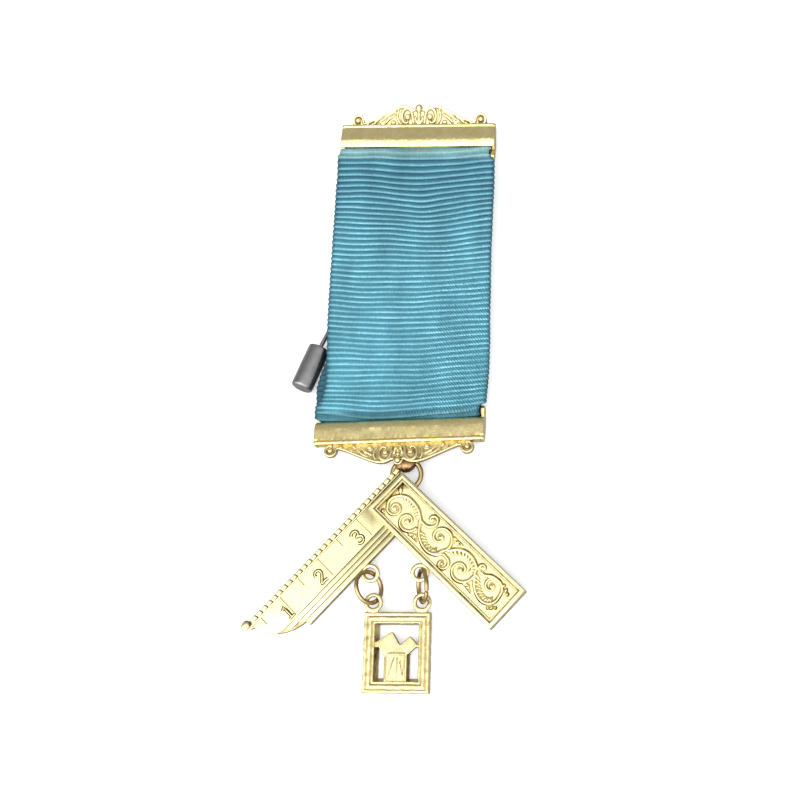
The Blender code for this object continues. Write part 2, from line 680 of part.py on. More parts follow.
def rule_grooves():
    cutters = []
    tick_level = RULE_THICKNESS + GROOVE_RADIUS / 4
    numeral_level = RULE_THICKNESS + NUMERAL_RADIUS / 4
    for along, reach in RULE_TICKS:
        x = along * RULE_LENGTH
        start = RULE_FACE_FROM * RULE_WIDTH + GROOVE_RADIUS
        line = [(x, start, tick_level), (x, reach * RULE_WIDTH, tick_level)]
        cutters.append(wire_solid("tick", line, GROOVE_RADIUS, 0))
    for along, across, strokes in NUMERALS:
        centre = Vector((along * RULE_LENGTH, across * RULE_WIDTH))
        line = []
        for right, up in strokes:
            line.append(centre + NUMERAL_HEIGHT * Vector((-right, -up)))
        cutters.append(wire_solid("numeral", at_height(line, numeral_level), NUMERAL_RADIUS, 0))
    return cutters


def rectangle(low, high):
    return [(low[0], low[1]), (high[0], low[1]), (high[0], high[1]), (low[0], high[1])]


def box_arm():
    low = (0.0, BOX_START)
    high = (BOX_WIDTH, BOX_LENGTH)
    rim_low = (BOX_BORDER, BOX_START + BOX_BORDER * 0.7)
    rim_high = (BOX_WIDTH - BOX_BORDER, BOX_LENGTH - BOX_BORDER)
    step_low = (rim_low[0] + BOX_STEP, rim_low[1] + BOX_STEP)
    step_high = (rim_high[0] - BOX_STEP, rim_high[1] - BOX_STEP)
    middle_low = (BOX_STEP, BOX_START + BOX_STEP)
    middle_high = (BOX_WIDTH - BOX_STEP, BOX_LENGTH - BOX_STEP)
    floor = outline_solid("box_floor", [rectangle(low, high)], 0.0, BOX_FLOOR)
    frame = outline_solid("box_frame", [rectangle(middle_low, middle_high), rectangle(rim_low, rim_high)],
                          BOX_FLOOR * 0.6, BOX_THICKNESS)
    step = outline_solid("box_step", [rectangle(low, high), rectangle(step_low, step_high)],
                         BOX_FLOOR * 0.5, BOX_THICKNESS - BOX_STEP * 2)
    return [floor, frame, step]


def scrolls():
    """Stems, volutes, leaves and buds on the box arm's floor, each at its own level so that no tops meet."""
    pieces = []
    stems = []
    level = BOX_FLOOR + SCROLL_RADIUS * 0.4
    stagger = SCROLL_RADIUS / 24
    for index, row in enumerate(SCROLL_STEMS):
        line = smooth_line([box_point(*point) for point in row], 2)
        stems.append(line)
        pieces.append(wire_solid("stem", at_height(line, level + index * stagger), SCROLL_RADIUS))
    for index, (centre, start, turns) in enumerate(SCROLL_VOLUTES):
        line = volute_line(box_point(*centre), box_point(*start), turns, SCROLL_RADIUS, 9)
        height = level + (index + 0.5) * stagger
        pieces.append(wire_solid("volute", at_height(line, height), SCROLL_RADIUS * 0.92))
    for stem, first, last, count, focus in SCROLL_COMBS:
        line = stems[stem]
        for index in range(count):
            share = first + (last - first) * index / (count - 1)
            foot = line[min(round(share * (len(line) - 1)), len(line) - 1)]
            reach = (box_point(*focus) - foot).normalized() * (LEAF_LENGTH + SCROLL_RADIUS)
            height = level + (index % 5) * stagger
            pieces.append(wire_solid("leaf", at_height([foot, foot + reach], height), LEAF_RADIUS))
    for across, along, half_across, half_along in SCROLL_BUDS:
        centre = box_point(across, along)
        size = (half_across * BOX_WIDTH, half_along * BOX_WIDTH, SCROLL_RADIUS * 1.4)
        pieces.append(ball("bud", (centre.x, centre.y, level), size))
    return pieces


def eye(name, centre, level, foot, matrix=Matrix.Identity(4)):
    """A flat eye about centre at the given level, with a short neck to the point foot."""
    rim = arc(centre, EYE_RADIUS, 0, 330, 11)
    hole = arc(centre, EYE_HOLE, 0, 330, 11)
    low = level - EYE_THICKNESS / 2
    ring = outline_solid(name, [rim, hole], low, low + EYE_THICKNESS, matrix)
    reach = Vector(foot) - Vector(centre)
    along = reach.normalized()
    side = Vector((-along.y, along.x)) * EYE_NECK_WIDTH / 2
    start = Vector(centre) + along * (EYE_RADIUS + EYE_HOLE) / 2
    end = Vector(foot)
    corners = [tuple(corner) for corner in (start + side, end + side, end - side, start - side)]
    neck_low = low + EYE_THICKNESS * 0.08
    neck_high = low + EYE_THICKNESS * 0.9
    neck = outline_solid(name + "_neck", [corners], neck_low, neck_high, matrix)
    return [ring, neck]


def square_eye_centres():
    """Middles of the square's eyes in its own frame: on the rule's inner edge and on the box arm's."""
    rule_eye = Vector((RULE_EYE_ALONG, RULE_WIDTH + EYE_STAND_OFF))
    box_eye = Vector((BOX_WIDTH + EYE_STAND_OFF, BOX_EYE_ALONG))
    return rule_eye, box_eye


def square_eyes():
    rule_eye, box_eye = square_eye_centres()
    pieces = []
    inward = (Vector((0.0, -EYE_RADIUS * 1.4)), Vector((-EYE_RADIUS * 1.4, 0.0)))
    for centre, toward in zip((rule_eye, box_eye), inward):
        place = square_matrix @ Vector((*centre, 0.0))
        level = (EYE_LEVEL - place.z) / math.cos(math.radians(SQUARE_TILT))
        pieces += eye("square_eye", centre, level, centre + toward)
    return pieces


def staple():
    """The loop on the square's back that the suspension ring passes through."""
    ring_centre = square_matrix.inverted() @ Vector(RING_PLACE)
    middle = ring_centre + Vector((RING_RADIUS, 0.0, 0.0))
    on_ring = ring_matrix.inverted() @ square_matrix @ middle
    on_ring.z = 0.0
    wire_level = (square_matrix.inverted() @ ring_matrix @ on_ring).z
    room = RING_WIRE + PIECE_GAP
    wall = RING_WIRE
    half = RING_WIRE * 1.15
    low = wire_level - room - wall * 0.85
    pieces = [block("staple_bar", (middle.x - room - wall, middle.y - half, low),
                    (middle.x + room + wall, middle.y + half, wire_level - room))]
    for side in (-1, 1):
        inner = middle.x + side * (room + wall * 0.08)
        outer = middle.x + side * (room + wall)
        pieces.append(block("staple_leg", (min(inner, outer), middle.y - half * 0.98, low + wall * 0.1),
                            (max(inner, outer), middle.y + half * 0.98, RULE_THICKNESS * 0.3)))
    return pieces


def make_square(shelf, material):
    base, face = rule_body()
    pieces = [face] + box_arm() + rule_details() + scrolls() + square_eyes() + staple()
    square = fuse(base, pieces)
    square.data.materials.clear()
    square.data.materials.append(material)
    cut_with(square, rule_grooves(), shelf)
    return square


# Proposition plate

def plate_point(across, up):
    return (across * PLATE_WIDTH, up * PLATE_HEIGHT)


def plate_eye_centres():
    row = PLATE_HEIGHT / 2 + EYE_REACH
    return Vector((-EYE_SPREAD / 2, row)), Vector((EYE_SPREAD / 2, row))


def turned_square(across, up, width, height, turn):
    centre = Vector(plate_point(across, up))
    spin = Matrix.Rotation(math.radians(turn), 2)
    corners = []
    for x, y in ((-1, -1), (1, -1), (1, 1), (-1, 1)):
        corner = spin @ Vector((x * width * PLATE_WIDTH / 2, y * height * PLATE_HEIGHT / 2))
        corners.append(tuple(centre + corner))
    return corners


def make_plate(shelf, material):
    half = (PLATE_WIDTH / 2, PLATE_HEIGHT / 2)
    hole = (half[0] - PLATE_BORDER, half[1] - PLATE_BORDER)
    frame = outline_solid("proposition_plate", [rectangle((-half[0], -half[1]), half),
                                                rectangle((-hole[0], -hole[1]), hole)], 0.0, PLATE_THICKNESS)
    pieces = []
    for inset, share in ((PLATE_BEAD * 0.9, 1.0), (PLATE_BORDER - PLATE_BEAD * 0.8, 0.8)):
        x = half[0] - inset
        y = half[1] - inset
        loop = at_height(rectangle((-x, -y), (x, y)), PLATE_THICKNESS - PLATE_BEAD * 0.1)
        pieces.append(wire_solid("bead", loop, PLATE_BEAD * share, 1, True))
    for across, up, width, height, turn in FIGURE_SQUARES:
        corners = turned_square(across, up, width, height, turn)
        lift = FIGURE_BOTTOM * (1 + 0.3 * (turn > 0) + 0.2 * (turn > 35))
        pieces.append(outline_solid("figure", [corners], lift, FIGURE_BOTTOM + FIGURE_THICKNESS - lift / 2))
    near, far, foot, top = FIGURE_TIE
    for side in (-1, 1):
        ends = sorted((side * near * half[0], side * far * half[0]))
        low = (ends[0], foot * PLATE_HEIGHT, FIGURE_BOTTOM * 1.4)
        high = (ends[1], top * PLATE_HEIGHT, FIGURE_THICKNESS)
        pieces.append(block("tie", low, high))
    for centre in plate_eye_centres():
        place = plate_matrix @ Vector((*centre, 0.0))
        level = min(EYE_LEVEL - place.z, PLATE_THICKNESS - EYE_THICKNESS * 0.45)
        pieces += eye("plate_eye", centre, level, centre - Vector((0.0, EYE_REACH + PLATE_BORDER / 3)))
    plate = fuse(frame, pieces)
    plate.data.materials.clear()
    plate.data.materials.append(material)
    cutters = []
    line_level = FIGURE_THICKNESS + FIGURE_BOTTOM / 2
    for start, end in FIGURE_LINES:
        line = at_height([plate_point(*start), plate_point(*end)], line_level + GROOVE_RADIUS / 4)
        cutters.append(wire_solid("figure_line", line, GROOVE_RADIUS * 1.3, 0))
    cut_with(plate, cutters, shelf)
    return plate


# Rings

def make_suspension_ring(material):
    ring = torus("suspension_ring", RING_RADIUS, RING_WIRE, Matrix.Identity(4), 24, 6)
    ring.data.materials.append(material)
    ring.matrix_world = ring_matrix
    return ring


def make_jump_ring(name, square_eye, plate_eye, flop, raised_side, material):
    """A ring through one eye of the square and one of the plate, flopped with one side on the table."""
    top = square_matrix @ Vector((*square_eye, 0.0))
    bottom = plate_matrix @ Vector((*plate_eye, 0.0))
    middle = (top + bottom) / 2
    down = (bottom - top).to_2d().normalized()
    sideways = Vector((-down.y, down.x)) * (-1 if raised_side == "left" else 1)
    if (sideways.x < 0) != (raised_side == "left"):
        sideways = -sideways
    flop = math.radians(flop)
    centre_height = JUMP_RADIUS * math.sin(flop) + JUMP_WIRE + PIECE_GAP / 10
    past = (centre_height - EYE_LEVEL) / math.tan(flop)
    centre = Vector((middle.x + sideways.x * past, middle.y + sideways.y * past, centre_height))
    axis_down = Vector((down.x, down.y, 0.0))
    axis_up = Vector((sideways.x * math.cos(flop), sideways.y * math.cos(flop), math.sin(flop)))
    normal = axis_down.cross(axis_up)
    turn = Matrix((axis_down, axis_up, normal)).transposed().to_4x4()
    ring = torus(name, JUMP_RADIUS, JUMP_WIRE, Matrix.Identity(4), 24, 6)
    ring.data.materials.append(material)
    ring.matrix_world = Matrix.Translation(centre) @ turn
    return ring


# Pin and clutch

def pin_run():
    """The straight run of the pin, from the bend under the bar to the point, and its direction."""
    start = Vector((*PIN_HEAD_PLACE, PIN_RADIUS + PIECE_GAP / 10))
    end = Vector((*PIN_POINT_PLACE, CLUTCH_RADIUS + PIECE_GAP / 10))
    return start, end, (end - start).normalized()


def make_pin(material):
    start, end, direction = pin_run()
    pad_top = UPPER_ROD_PLACE[2] + crest_front - CREST_THICKNESS - 2 * PIECE_GAP
    bend = PIN_RADIUS * 2.5
    line = [start + Vector((0, 0, pad_top - start.z - PIN_PAD_THICKNESS / 2)), start + Vector((0, 0, bend))]
    line += [start + Vector((0, 0, bend * 0.3)) + direction * bend * 0.3, start + direction * bend]
    taper = 8 * PIN_RADIUS
    line += [end - direction * taper]
    pin = wire_solid("stick_pin", line, PIN_RADIUS, 2)
    pad_centre = (start.x, start.y, pad_top - PIN_PAD_THICKNESS / 2)
    pad = cylinder("pad", pad_centre, PIN_PAD_RADIUS, PIN_PAD_THICKNESS, 16)
    point_turn = direction.to_track_quat("Z", "Y").to_matrix().to_4x4()
    point_place = Matrix.Translation(end - direction * taper * 0.51) @ point_turn
    point = primitive_solid("point", point_place, lambda: bpy.ops.mesh.primitive_cone_add(
        radius1=PIN_RADIUS * 0.96, radius2=PIN_RADIUS * 0.15, depth=taper, vertices=8))
    fuse(pin, [pad, point])
    pin.data.materials.clear()
    pin.data.materials.append(material)
    return pin


def make_clutch(material):
    """A turned cup with its mouth towards the brooch bar, on an axis a few degrees off the pin's."""
    corner = CLUTCH_RADIUS * 0.28
    profile = [(0.0, 0.0), (CLUTCH_RADIUS - corner, 0.0), (CLUTCH_RADIUS, -corner)]
    profile += [(CLUTCH_RADIUS, corner / 2 - CLUTCH_LENGTH), (CLUTCH_RADIUS - corner / 2, -CLUTCH_LENGTH)]
    profile += [(CLUTCH_BORE, -CLUTCH_LENGTH), (CLUTCH_BORE, -CLUTCH_WALL), (0.0, -CLUTCH_WALL)]
    mesh = bpy.data.meshes.new("clutch_profile")
    mesh.from_pydata([(x, 0.0, z) for x, z in profile], [(i, i + 1) for i in range(len(profile) - 1)], [])
    turned = bpy.data.objects.new("clutch_profile", mesh)
    bpy.context.scene.collection.objects.link(turned)
    screw = turned.modifiers.new("turn", "SCREW")
    screw.steps = 20
    screw.render_steps = 20
    screw.use_merge_vertices = True
    screw.merge_threshold = 0.00001
    graph = bpy.context.evaluated_depsgraph_get()
    solid_mesh = bpy.data.meshes.new_from_object(turned.evaluated_get(graph))
    bpy.data.objects.remove(turned)
    close_mesh(solid_mesh)
    clutch = bpy.data.objects.new("pin_clutch", solid_mesh)
    bpy.context.scene.collection.objects.link(clutch)
    solid_mesh.materials.append(material)
    direction = pin_run()[2]
    turn = math.radians(CLUTCH_TURN)
    axis = Vector((-math.sin(turn), -math.cos(turn), direction.z)).normalized()
    mouth = Vector((*CLUTCH_MOUTH_PLACE, CLUTCH_RADIUS + PIECE_GAP / 10))
    closed_end = mouth + axis * CLUTCH_LENGTH
    frame = axis.to_track_quat("Z", "X").to_matrix().to_4x4()
    clutch.matrix_world = Matrix.Translation(closed_end) @ frame
    return clutch


# Assembly

def put_on_origin(pieces, base):
    """Shift everything so that the middle of the underside lies on the origin."""
    bpy.context.view_layer.update()
    graph = bpy.context.evaluated_depsgraph_get()
    low = Vector((math.inf, math.inf, math.inf))
    high = -low
    for piece in pieces:
        seen = piece.evaluated_get(graph)
        for vertex in seen.data.vertices:
            point = piece.matrix_world @ vertex.co
            low = Vector(map(min, low, point))
            high = Vector(map(max, high, point))
    base.location = (-(low.x + high.x) / 2, -(low.y + high.y) / 2, -low.z)


def build_jewel():
    jewel, cutters = start_scene()
    gilt = finish_material("gilt_brass", (0.80, 0.60, 0.22), 0.22)
    ring_gilt = finish_material("ring_gilt", (0.62, 0.42, 0.16), 0.25)
    steel = finish_material("pin_steel", (0.42, 0.40, 0.38), 0.35)
    silk = finish_material("ribbon_silk", (0.13, 0.45, 0.58), 0.55)

    upper_bar = bar_casting("upper_bar", [], [], cutters, gilt)
    upper_bar.matrix_world = upper_bar_matrix
    extras, passages = hanger()
    lower_bar = bar_casting("lower_bar", extras, passages, cutters, gilt)
    lower_bar.matrix_world = lower_bar_matrix
    square = make_square(cutters, gilt)
    square.matrix_world = square_matrix
    plate = make_plate(cutters, gilt)
    plate.matrix_world = plate_matrix
    rule_eye, box_eye = square_eye_centres()
    left_eye, right_eye = plate_eye_centres()
    pieces = [
        upper_bar,
        rod("upper_rod", ring_gilt, upper_bar_matrix),
        make_ribbon(silk),
        rod("lower_rod", ring_gilt, lower_bar_matrix),
        lower_bar,
        make_suspension_ring(ring_gilt),
        square,
        make_jump_ring("jump_ring_left", rule_eye, left_eye, LEFT_FLOP, "left", ring_gilt),
        make_jump_ring("jump_ring_right", box_eye, right_eye, RIGHT_FLOP, "right", ring_gilt),
        plate,
        make_pin(steel),
        make_clutch(steel),
    ]
    base = bpy.data.objects.new("jewel_base", None)
    jewel.objects.link(base)
    for piece in pieces:
        move_to(piece, jewel)
        piece.data.shade_smooth()
        piece.data.set_sharp_from_angle(angle=math.radians(35))
    put_on_origin(pieces, base)
    for piece in pieces:
        piece.parent = base


build_jewel()
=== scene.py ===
import math

import bmesh
import bpy
import numpy as np
from mathutils import Matrix, Vector, noise


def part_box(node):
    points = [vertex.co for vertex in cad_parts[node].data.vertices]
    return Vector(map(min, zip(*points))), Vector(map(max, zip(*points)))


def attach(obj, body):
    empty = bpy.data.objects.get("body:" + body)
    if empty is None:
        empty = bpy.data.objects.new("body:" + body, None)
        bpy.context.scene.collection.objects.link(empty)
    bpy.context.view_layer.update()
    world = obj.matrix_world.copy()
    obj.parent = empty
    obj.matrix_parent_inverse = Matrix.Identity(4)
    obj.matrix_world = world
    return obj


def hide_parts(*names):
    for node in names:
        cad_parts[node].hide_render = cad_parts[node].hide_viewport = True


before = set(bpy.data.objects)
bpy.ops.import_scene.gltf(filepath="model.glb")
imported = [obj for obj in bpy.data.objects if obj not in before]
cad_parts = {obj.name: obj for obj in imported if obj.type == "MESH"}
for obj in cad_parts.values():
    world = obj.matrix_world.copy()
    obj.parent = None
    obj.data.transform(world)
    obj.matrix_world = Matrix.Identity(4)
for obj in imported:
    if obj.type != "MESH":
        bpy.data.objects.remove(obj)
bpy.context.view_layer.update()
print("frame loaded")

# Pieces are drawn in millimetres about their own middles, then set down in the frame in metres.
mm = 0.001
places = {
    "upperRod": (-0.1, 69.8, 3.9), "upperTurn": -2.6,
    "lowerRod": (-0.5, 4.7, 1.65), "lowerTurn": 182.0,
    "ring": (1.69, -9.04, 1.57), "ringTilt": 4.5,
    "square": (-0.07, -8.02), "squareTurn": 2.7, "squareTilt": 4.4, "squareReach": 48.65,
    "plate": (1.845, -46.466), "plateTurn": 1.45, "plateTilt": 1.8, "plateHeight": 16.1,
}
rodLow, rodHigh = [Vector(corner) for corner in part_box("upper_rod")]
jewelShift = (rodLow + rodHigh) / 2 - Vector(places["upperRod"]) * mm


def turned(place, turn=0.0, tilt=0.0):
    spin = Matrix.Rotation(math.radians(turn), 4, "Z") @ Matrix.Rotation(math.radians(tilt), 4, "X")
    return Matrix.Translation(place) @ spin


squareHeight = math.sin(math.radians(places["squareTilt"])) * places["squareReach"] * math.sqrt(0.5)
plateHeight = math.sin(math.radians(places["plateTilt"])) * places["plateHeight"] / 2
upperBarPlace = turned(places["upperRod"], places["upperTurn"])
lowerBarPlace = turned(places["lowerRod"], places["lowerTurn"])
ringPlace = turned(places["ring"], 0.0, places["ringTilt"])
squarePlace = turned((*places["square"], squareHeight), places["squareTurn"], places["squareTilt"])
squarePlace = squarePlace @ Matrix.Rotation(math.radians(225.0), 4, "Z")
platePlace = turned((*places["plate"], plateHeight), places["plateTurn"], places["plateTilt"])
intoFrame = Matrix.Translation(jewelShift) @ Matrix.Scale(mm, 4)
doublesWithin = 0.0005  # points closer than this are merged, in millimetres


# Meshes

def linked(data, name):
    piece = bpy.data.objects.new(name, data)
    bpy.context.scene.collection.objects.link(piece)
    return piece


def evaluated(piece, *helpers):  # a plain mesh with the modifiers in it; the objects themselves go
    graph = bpy.context.evaluated_depsgraph_get()
    mesh = bpy.data.meshes.new_from_object(piece.evaluated_get(graph))
    for used in (piece, *helpers):
        bpy.data.objects.remove(used)
    return mesh


def builtMesh(shape, name, merge=0.0):
    if merge:
        bmesh.ops.remove_doubles(shape, verts=shape.verts, dist=merge)
        bmesh.ops.recalc_face_normals(shape, faces=shape.faces)
    mesh = bpy.data.meshes.new(name)
    shape.to_mesh(mesh)
    shape.free()
    return mesh


def joined(meshes):  # several meshes as one, with doubles left alone
    shape = bmesh.new()
    for mesh in meshes:
        shape.from_mesh(mesh)
    return builtMesh(shape, "joined")


def movedMesh(mesh, matrix):
    mesh.transform(matrix)
    return mesh


def finishedPiece(name, mesh, place, material, node, sharp=38.0, body="jewel"):
    mesh.transform(intoFrame @ place)
    mesh.materials.clear()
    mesh.materials.append(material)
    mesh.shade_smooth()
    mesh.set_sharp_from_angle(angle=math.radians(sharp))
    piece = linked(mesh, name)
    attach(piece, body)
    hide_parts(node)
    return piece


def strandMesh(strands, sides=10):  # wires, each (points, one radius or one for every point)
    curve = bpy.data.curves.new("strands", "CURVE")
    curve.dimensions = "3D"
    curve.bevel_depth = 1.0
    curve.bevel_resolution = max(0, sides // 2 - 2)
    curve.use_fill_caps = True
    for points, radii in strands:
        spline = curve.splines.new("POLY")
        spline.points.add(len(points) - 1)
        for index, slot in enumerate(spline.points):
            slot.co = (*points[index], 1.0)
            slot.radius = radii[index] if hasattr(radii, "__len__") else radii
    shape = bmesh.new()
    shape.from_mesh(evaluated(linked(curve, "strandsGuide")))
    return builtMesh(shape, "strands", doublesWithin)


def ballMesh(centre, radii, segments=20, rings=12):
    shape = bmesh.new()
    bmesh.ops.create_uvsphere(shape, u_segments=segments, v_segments=rings, radius=1.0,
                              matrix=Matrix.Translation(centre) @ Matrix.Diagonal((*radii, 1.0)))
    return builtMesh(shape, "ball")


def slabMesh(outline, low, high, edge=0.12, steps=3):  # a flat plate with rounded rims
    shape = bmesh.new()
    face = shape.faces.new([shape.verts.new((x, y, low)) for x, y in outline])
    grown = bmesh.ops.extrude_face_region(shape, geom=[face])["geom"]
    top = [item for item in grown if isinstance(item, bmesh.types.BMVert)]
    bmesh.ops.translate(shape, verts=top, vec=(0, 0, high - low))
    bmesh.ops.recalc_face_normals(shape, faces=shape.faces)
    rims = [rim for rim in shape.edges if rim.calc_face_angle(0.0) > math.radians(30)]
    bmesh.ops.bevel(shape, geom=rims, offset=edge, segments=steps, profile=0.5, affect="EDGES")
    bmesh.ops.triangulate(shape, faces=[side for side in shape.faces if len(side.verts) > 4])
    return builtMesh(shape, "slab")


def ringedMesh(rings, closed=True):  # loops of points joined in turn, the last to the first or both capped
    shape = bmesh.new()
    loops = [[shape.verts.new(point) for point in ring] for ring in rings]
    for first, second in zip(loops, loops[1:] + loops[:1] if closed else loops[1:]):
        for corner in range(len(first)):
            after = (corner + 1) % len(first)
            shape.faces.new((first[corner], first[after], second[after], second[corner]))
    for loop in () if closed else (loops[0], loops[-1]):
        bmesh.ops.triangulate(shape, faces=[shape.faces.new(loop)])
    bmesh.ops.recalc_face_normals(shape, faces=shape.faces)
    return builtMesh(shape, "ringed")


def turnedMesh(profile, count=48):  # (radius, height) points that close on the axis, or round a hole
    shape = bmesh.new()
    verts = [shape.verts.new((radius, 0.0, height)) for radius, height in profile]
    rims = [shape.edges.new(pair) for pair in zip(verts, verts[1:])]
    if profile[0][0] > 0.001 and profile[-1][0] > 0.001:
        rims.append(shape.edges.new((verts[-1], verts[0])))
    bmesh.ops.spin(shape, geom=verts + rims, cent=(0, 0, 0), axis=(0, 0, 1), angle=2 * math.pi, steps=count)
    return builtMesh(shape, "turned", doublesWithin)


def castMesh(meshes, voxel, smoothing):  # run together into one skin, as a casting is
    piece = linked(joined(meshes), "cast")
    remesh = piece.modifiers.new("cast", "REMESH")
    remesh.mode = "VOXEL"
    remesh.voxel_size = voxel
    soften = piece.modifiers.new("soften", "SMOOTH")
    soften.factor = 0.5
    soften.iterations = smoothing
    return evaluated(piece)


def cutMesh(mesh, cutter):
    piece = linked(mesh, "cutPiece")
    knife = linked(cutter, "cutKnife")
    cut = piece.modifiers.new("cut", "BOOLEAN")
    cut.operation = "DIFFERENCE"
    cut.solver = "EXACT"
    cut.use_self = True
    cut.object = knife
    return evaluated(piece, knife)


def readVectors(mesh, what="co"):
    values = np.empty(len(mesh.vertices) * 3)
    mesh.vertices.foreach_get(what, values)
    return values.reshape(-1, 3)


def storeMarks(mesh, name, values, kind="FLOAT"):
    layer = mesh.attributes.new(name, kind, "POINT")
    layer.data.foreach_set("value" if kind == "FLOAT" else "vector", np.array(values, dtype=np.float32))


def markHollows(mesh, reach, strength, shade=None):  # how deep each point sits among its neighbours
    points, normals, count = readVectors(mesh), readVectors(mesh, "normal"), len(mesh.vertices)
    ends = np.empty(len(mesh.edges) * 2, dtype=np.int64)
    mesh.edges.foreach_get("vertices", ends)
    near = np.maximum(np.bincount(ends, minlength=count).astype(float), 1.0)
    first, second = ends.reshape(-1, 2).T

    def average(values):
        total = np.empty_like(values)
        for axis in range(values.shape[1]):
            total[:, axis] = (np.bincount(first, values[second, axis], count)
                              + np.bincount(second, values[first, axis], count))
        return total / near[:, None]

    far = points
    for _ in range(reach):
        far = average(far)
    depth = ((far - points) * normals).sum(axis=1, keepdims=True)
    depth = np.clip(average(depth) * strength, 0.0, 1.0).ravel()
    if shade:
        depth = np.maximum(depth, shade(*points.T))
    # the depth darkens the metal: tarnish and painted shade in the hollows
    storeMarks(mesh, "hollowShadeAndTarnish", depth)


# Lines

def arcPoints(centre, radius, start, end, steps):
    line = []
    for step in range(steps + 1):
        angle = math.radians(start + (end - start) * step / steps)
        line.append((centre[0] + radius * math.cos(angle), centre[1] + radius * math.sin(angle)))
    return line


def smoothLine(points, steps):
    rows = [Vector(point) for point in points]
    rows = [2 * rows[0] - rows[1]] + rows + [2 * rows[-1] - rows[-2]]
    line = []
    for index in range(1, len(rows) - 2):
        before, start, end, after = rows[index - 1:index + 3]
        for step in range(steps):
            t = step / steps
            line.append(0.5 * (2 * start + (end - before) * t
                               + (2 * before - 5 * start + 4 * end - after) * t * t
                               + (3 * start - before - 3 * end + after) * t ** 3))
    line.append(rows[-2])
    return line


def voluteLine(centre, start, turns, endRadius, haste=0.9):  # 24 points a turn
    reach = Vector(start) - Vector(centre)
    first = math.atan2(reach.y, reach.x)
    count = max(6, round(abs(turns) * 24))
    line = []
    for step in range(count + 1):
        left = (1 - step / count) ** haste
        radius = reach.length * left + endRadius * (1 - left)
        angle = first + turns * 2 * math.pi * step / count
        line.append((centre[0] + radius * math.cos(angle), centre[1] + radius * math.sin(angle)))
    return line


def atHeight(points, height):
    return [(point[0], point[1], height) for point in points]


def tapered(count, start, middle, end):  # a thickness for every point of a line
    radii = []
    for index in range(count):
        t = 2 * index / max(1, count - 1)
        radii.append(start + (middle - start) * t if t < 1 else middle + (end - middle) * (t - 1))
    return radii


def rectangle(low, high):
    return [(low[0], low[1]), (high[0], low[1]), (high[0], high[1]), (low[0], high[1])]


def inside(low, high, inset):  # the rectangle drawn in by the inset
    return rectangle((low[0] + inset, low[1] + inset), (high[0] - inset, high[1] - inset))


def clamp(value):
    return min(max(value, 0.0), 1.0)


# Node helpers

def newGroup(name, kind, inputs, outputs):
    tree = bpy.data.node_groups.new(name, kind)
    for label, socket, value in inputs:
        slot = tree.interface.new_socket(label, in_out="INPUT", socket_type="NodeSocket" + socket)
        if value is not None:
            slot.default_value = value
    for label, socket in outputs:
        tree.interface.new_socket(label, in_out="OUTPUT", socket_type="NodeSocket" + socket)
    return tree, tree.nodes.new("NodeGroupInput").outputs, tree.nodes.new("NodeGroupOutput")


def setInputs(tree, node, inputs):  # inputs: {name or index: value or socket}
    for key, value in inputs.items():
        if isinstance(value, bpy.types.NodeSocket):
            tree.links.new(value, node.inputs[key])
        else:
            node.inputs[key].default_value = value


def addNode(tree, kind, inputs=None, **settings):
    node = tree.nodes.new(kind)
    for key, value in settings.items():
        setattr(node, key, value)
    setInputs(tree, node, inputs or {})
    return node.outputs


def maths(tree, operation, first, *others):  # one node for each further value
    for other in others or (0.0,):
        first = addNode(tree, "ShaderNodeMath", {0: first, 1: other}, operation=operation)[0]
    return first


def times(tree, *values):
    return maths(tree, "MULTIPLY", *values)


def added(tree, *values):
    return maths(tree, "ADD", *values)


def scaled(tree, vector, amount):
    return addNode(tree, "ShaderNodeVectorMath", {0: vector, "Scale": amount}, operation="SCALE")[0]


def spread(tree, value, low, high, newLow, newHigh):  # a clamped map range
    return addNode(tree, "ShaderNodeMapRange", {0: value, 1: low, 2: high, 3: newLow, 4: newHigh})[0]


def noiseTexture(tree, spot, scale, detail, roughness=0.5):
    inputs = {"Vector": spot, "Scale": scale, "Detail": detail, "Roughness": roughness}
    return addNode(tree, "ShaderNodeTexNoise", inputs)["Fac"]


def mapped(tree, spot, scale, turn=0.0):
    return addNode(tree, "ShaderNodeMapping", {"Vector": spot, "Rotation": (0, 0, turn), "Scale": scale})[0]


def attribute(tree, name):
    return addNode(tree, "ShaderNodeAttribute", attribute_name=name)["Fac"]


def mixed(tree, share, first, second, blend="MIX"):  # two colours, a plain one as three numbers
    inputs = {0: share, 6: first, 7: second}
    for slot in (6, 7):
        if isinstance(inputs[slot], tuple):
            inputs[slot] = (*inputs[slot], 1)
    return addNode(tree, "ShaderNodeMix", inputs, data_type="RGBA", blend_type=blend)[2]


def rampColour(tree, value, stops):  # stops: (position, colour)
    colour = addNode(tree, "ShaderNodeValToRGB", {0: value})[0]
    elements = colour.node.color_ramp.elements
    while len(elements) < len(stops):
        elements.new(0.5)
    for element, (position, tone) in zip(elements, stops):
        element.position = position
        element.color = (*tone, 1)
    return colour


def newMaterial(name):
    material = bpy.data.materials.new(name)
    material.use_nodes = True
    return material, material.node_tree, material.node_tree.nodes["Principled BSDF"]


def dressTree(tree, leave, geometry, material):  # the end of a Geometry Nodes tree
    whole = addNode(tree, "GeometryNodeRealizeInstances", {"Geometry": geometry})[0]
    dressed = addNode(tree, "GeometryNodeSetMaterial", {"Geometry": whole, "Material": material})[0]
    tree.links.new(dressed, leave.inputs[0])


def runTree(piece, tree, values):  # adds the tree as a modifier, sets its named inputs and keeps the result
    run = piece.modifiers.new(tree.name, "NODES")
    run.node_group = tree
    for item in tree.interface.items_tree:
        if item.in_out == "INPUT" and item.name in values:
            run[item.identifier] = values[item.name]
    return evaluated(piece)


# Materials

wearLooks = {"patchScale": 420.0, "scratchScale": 2600.0}


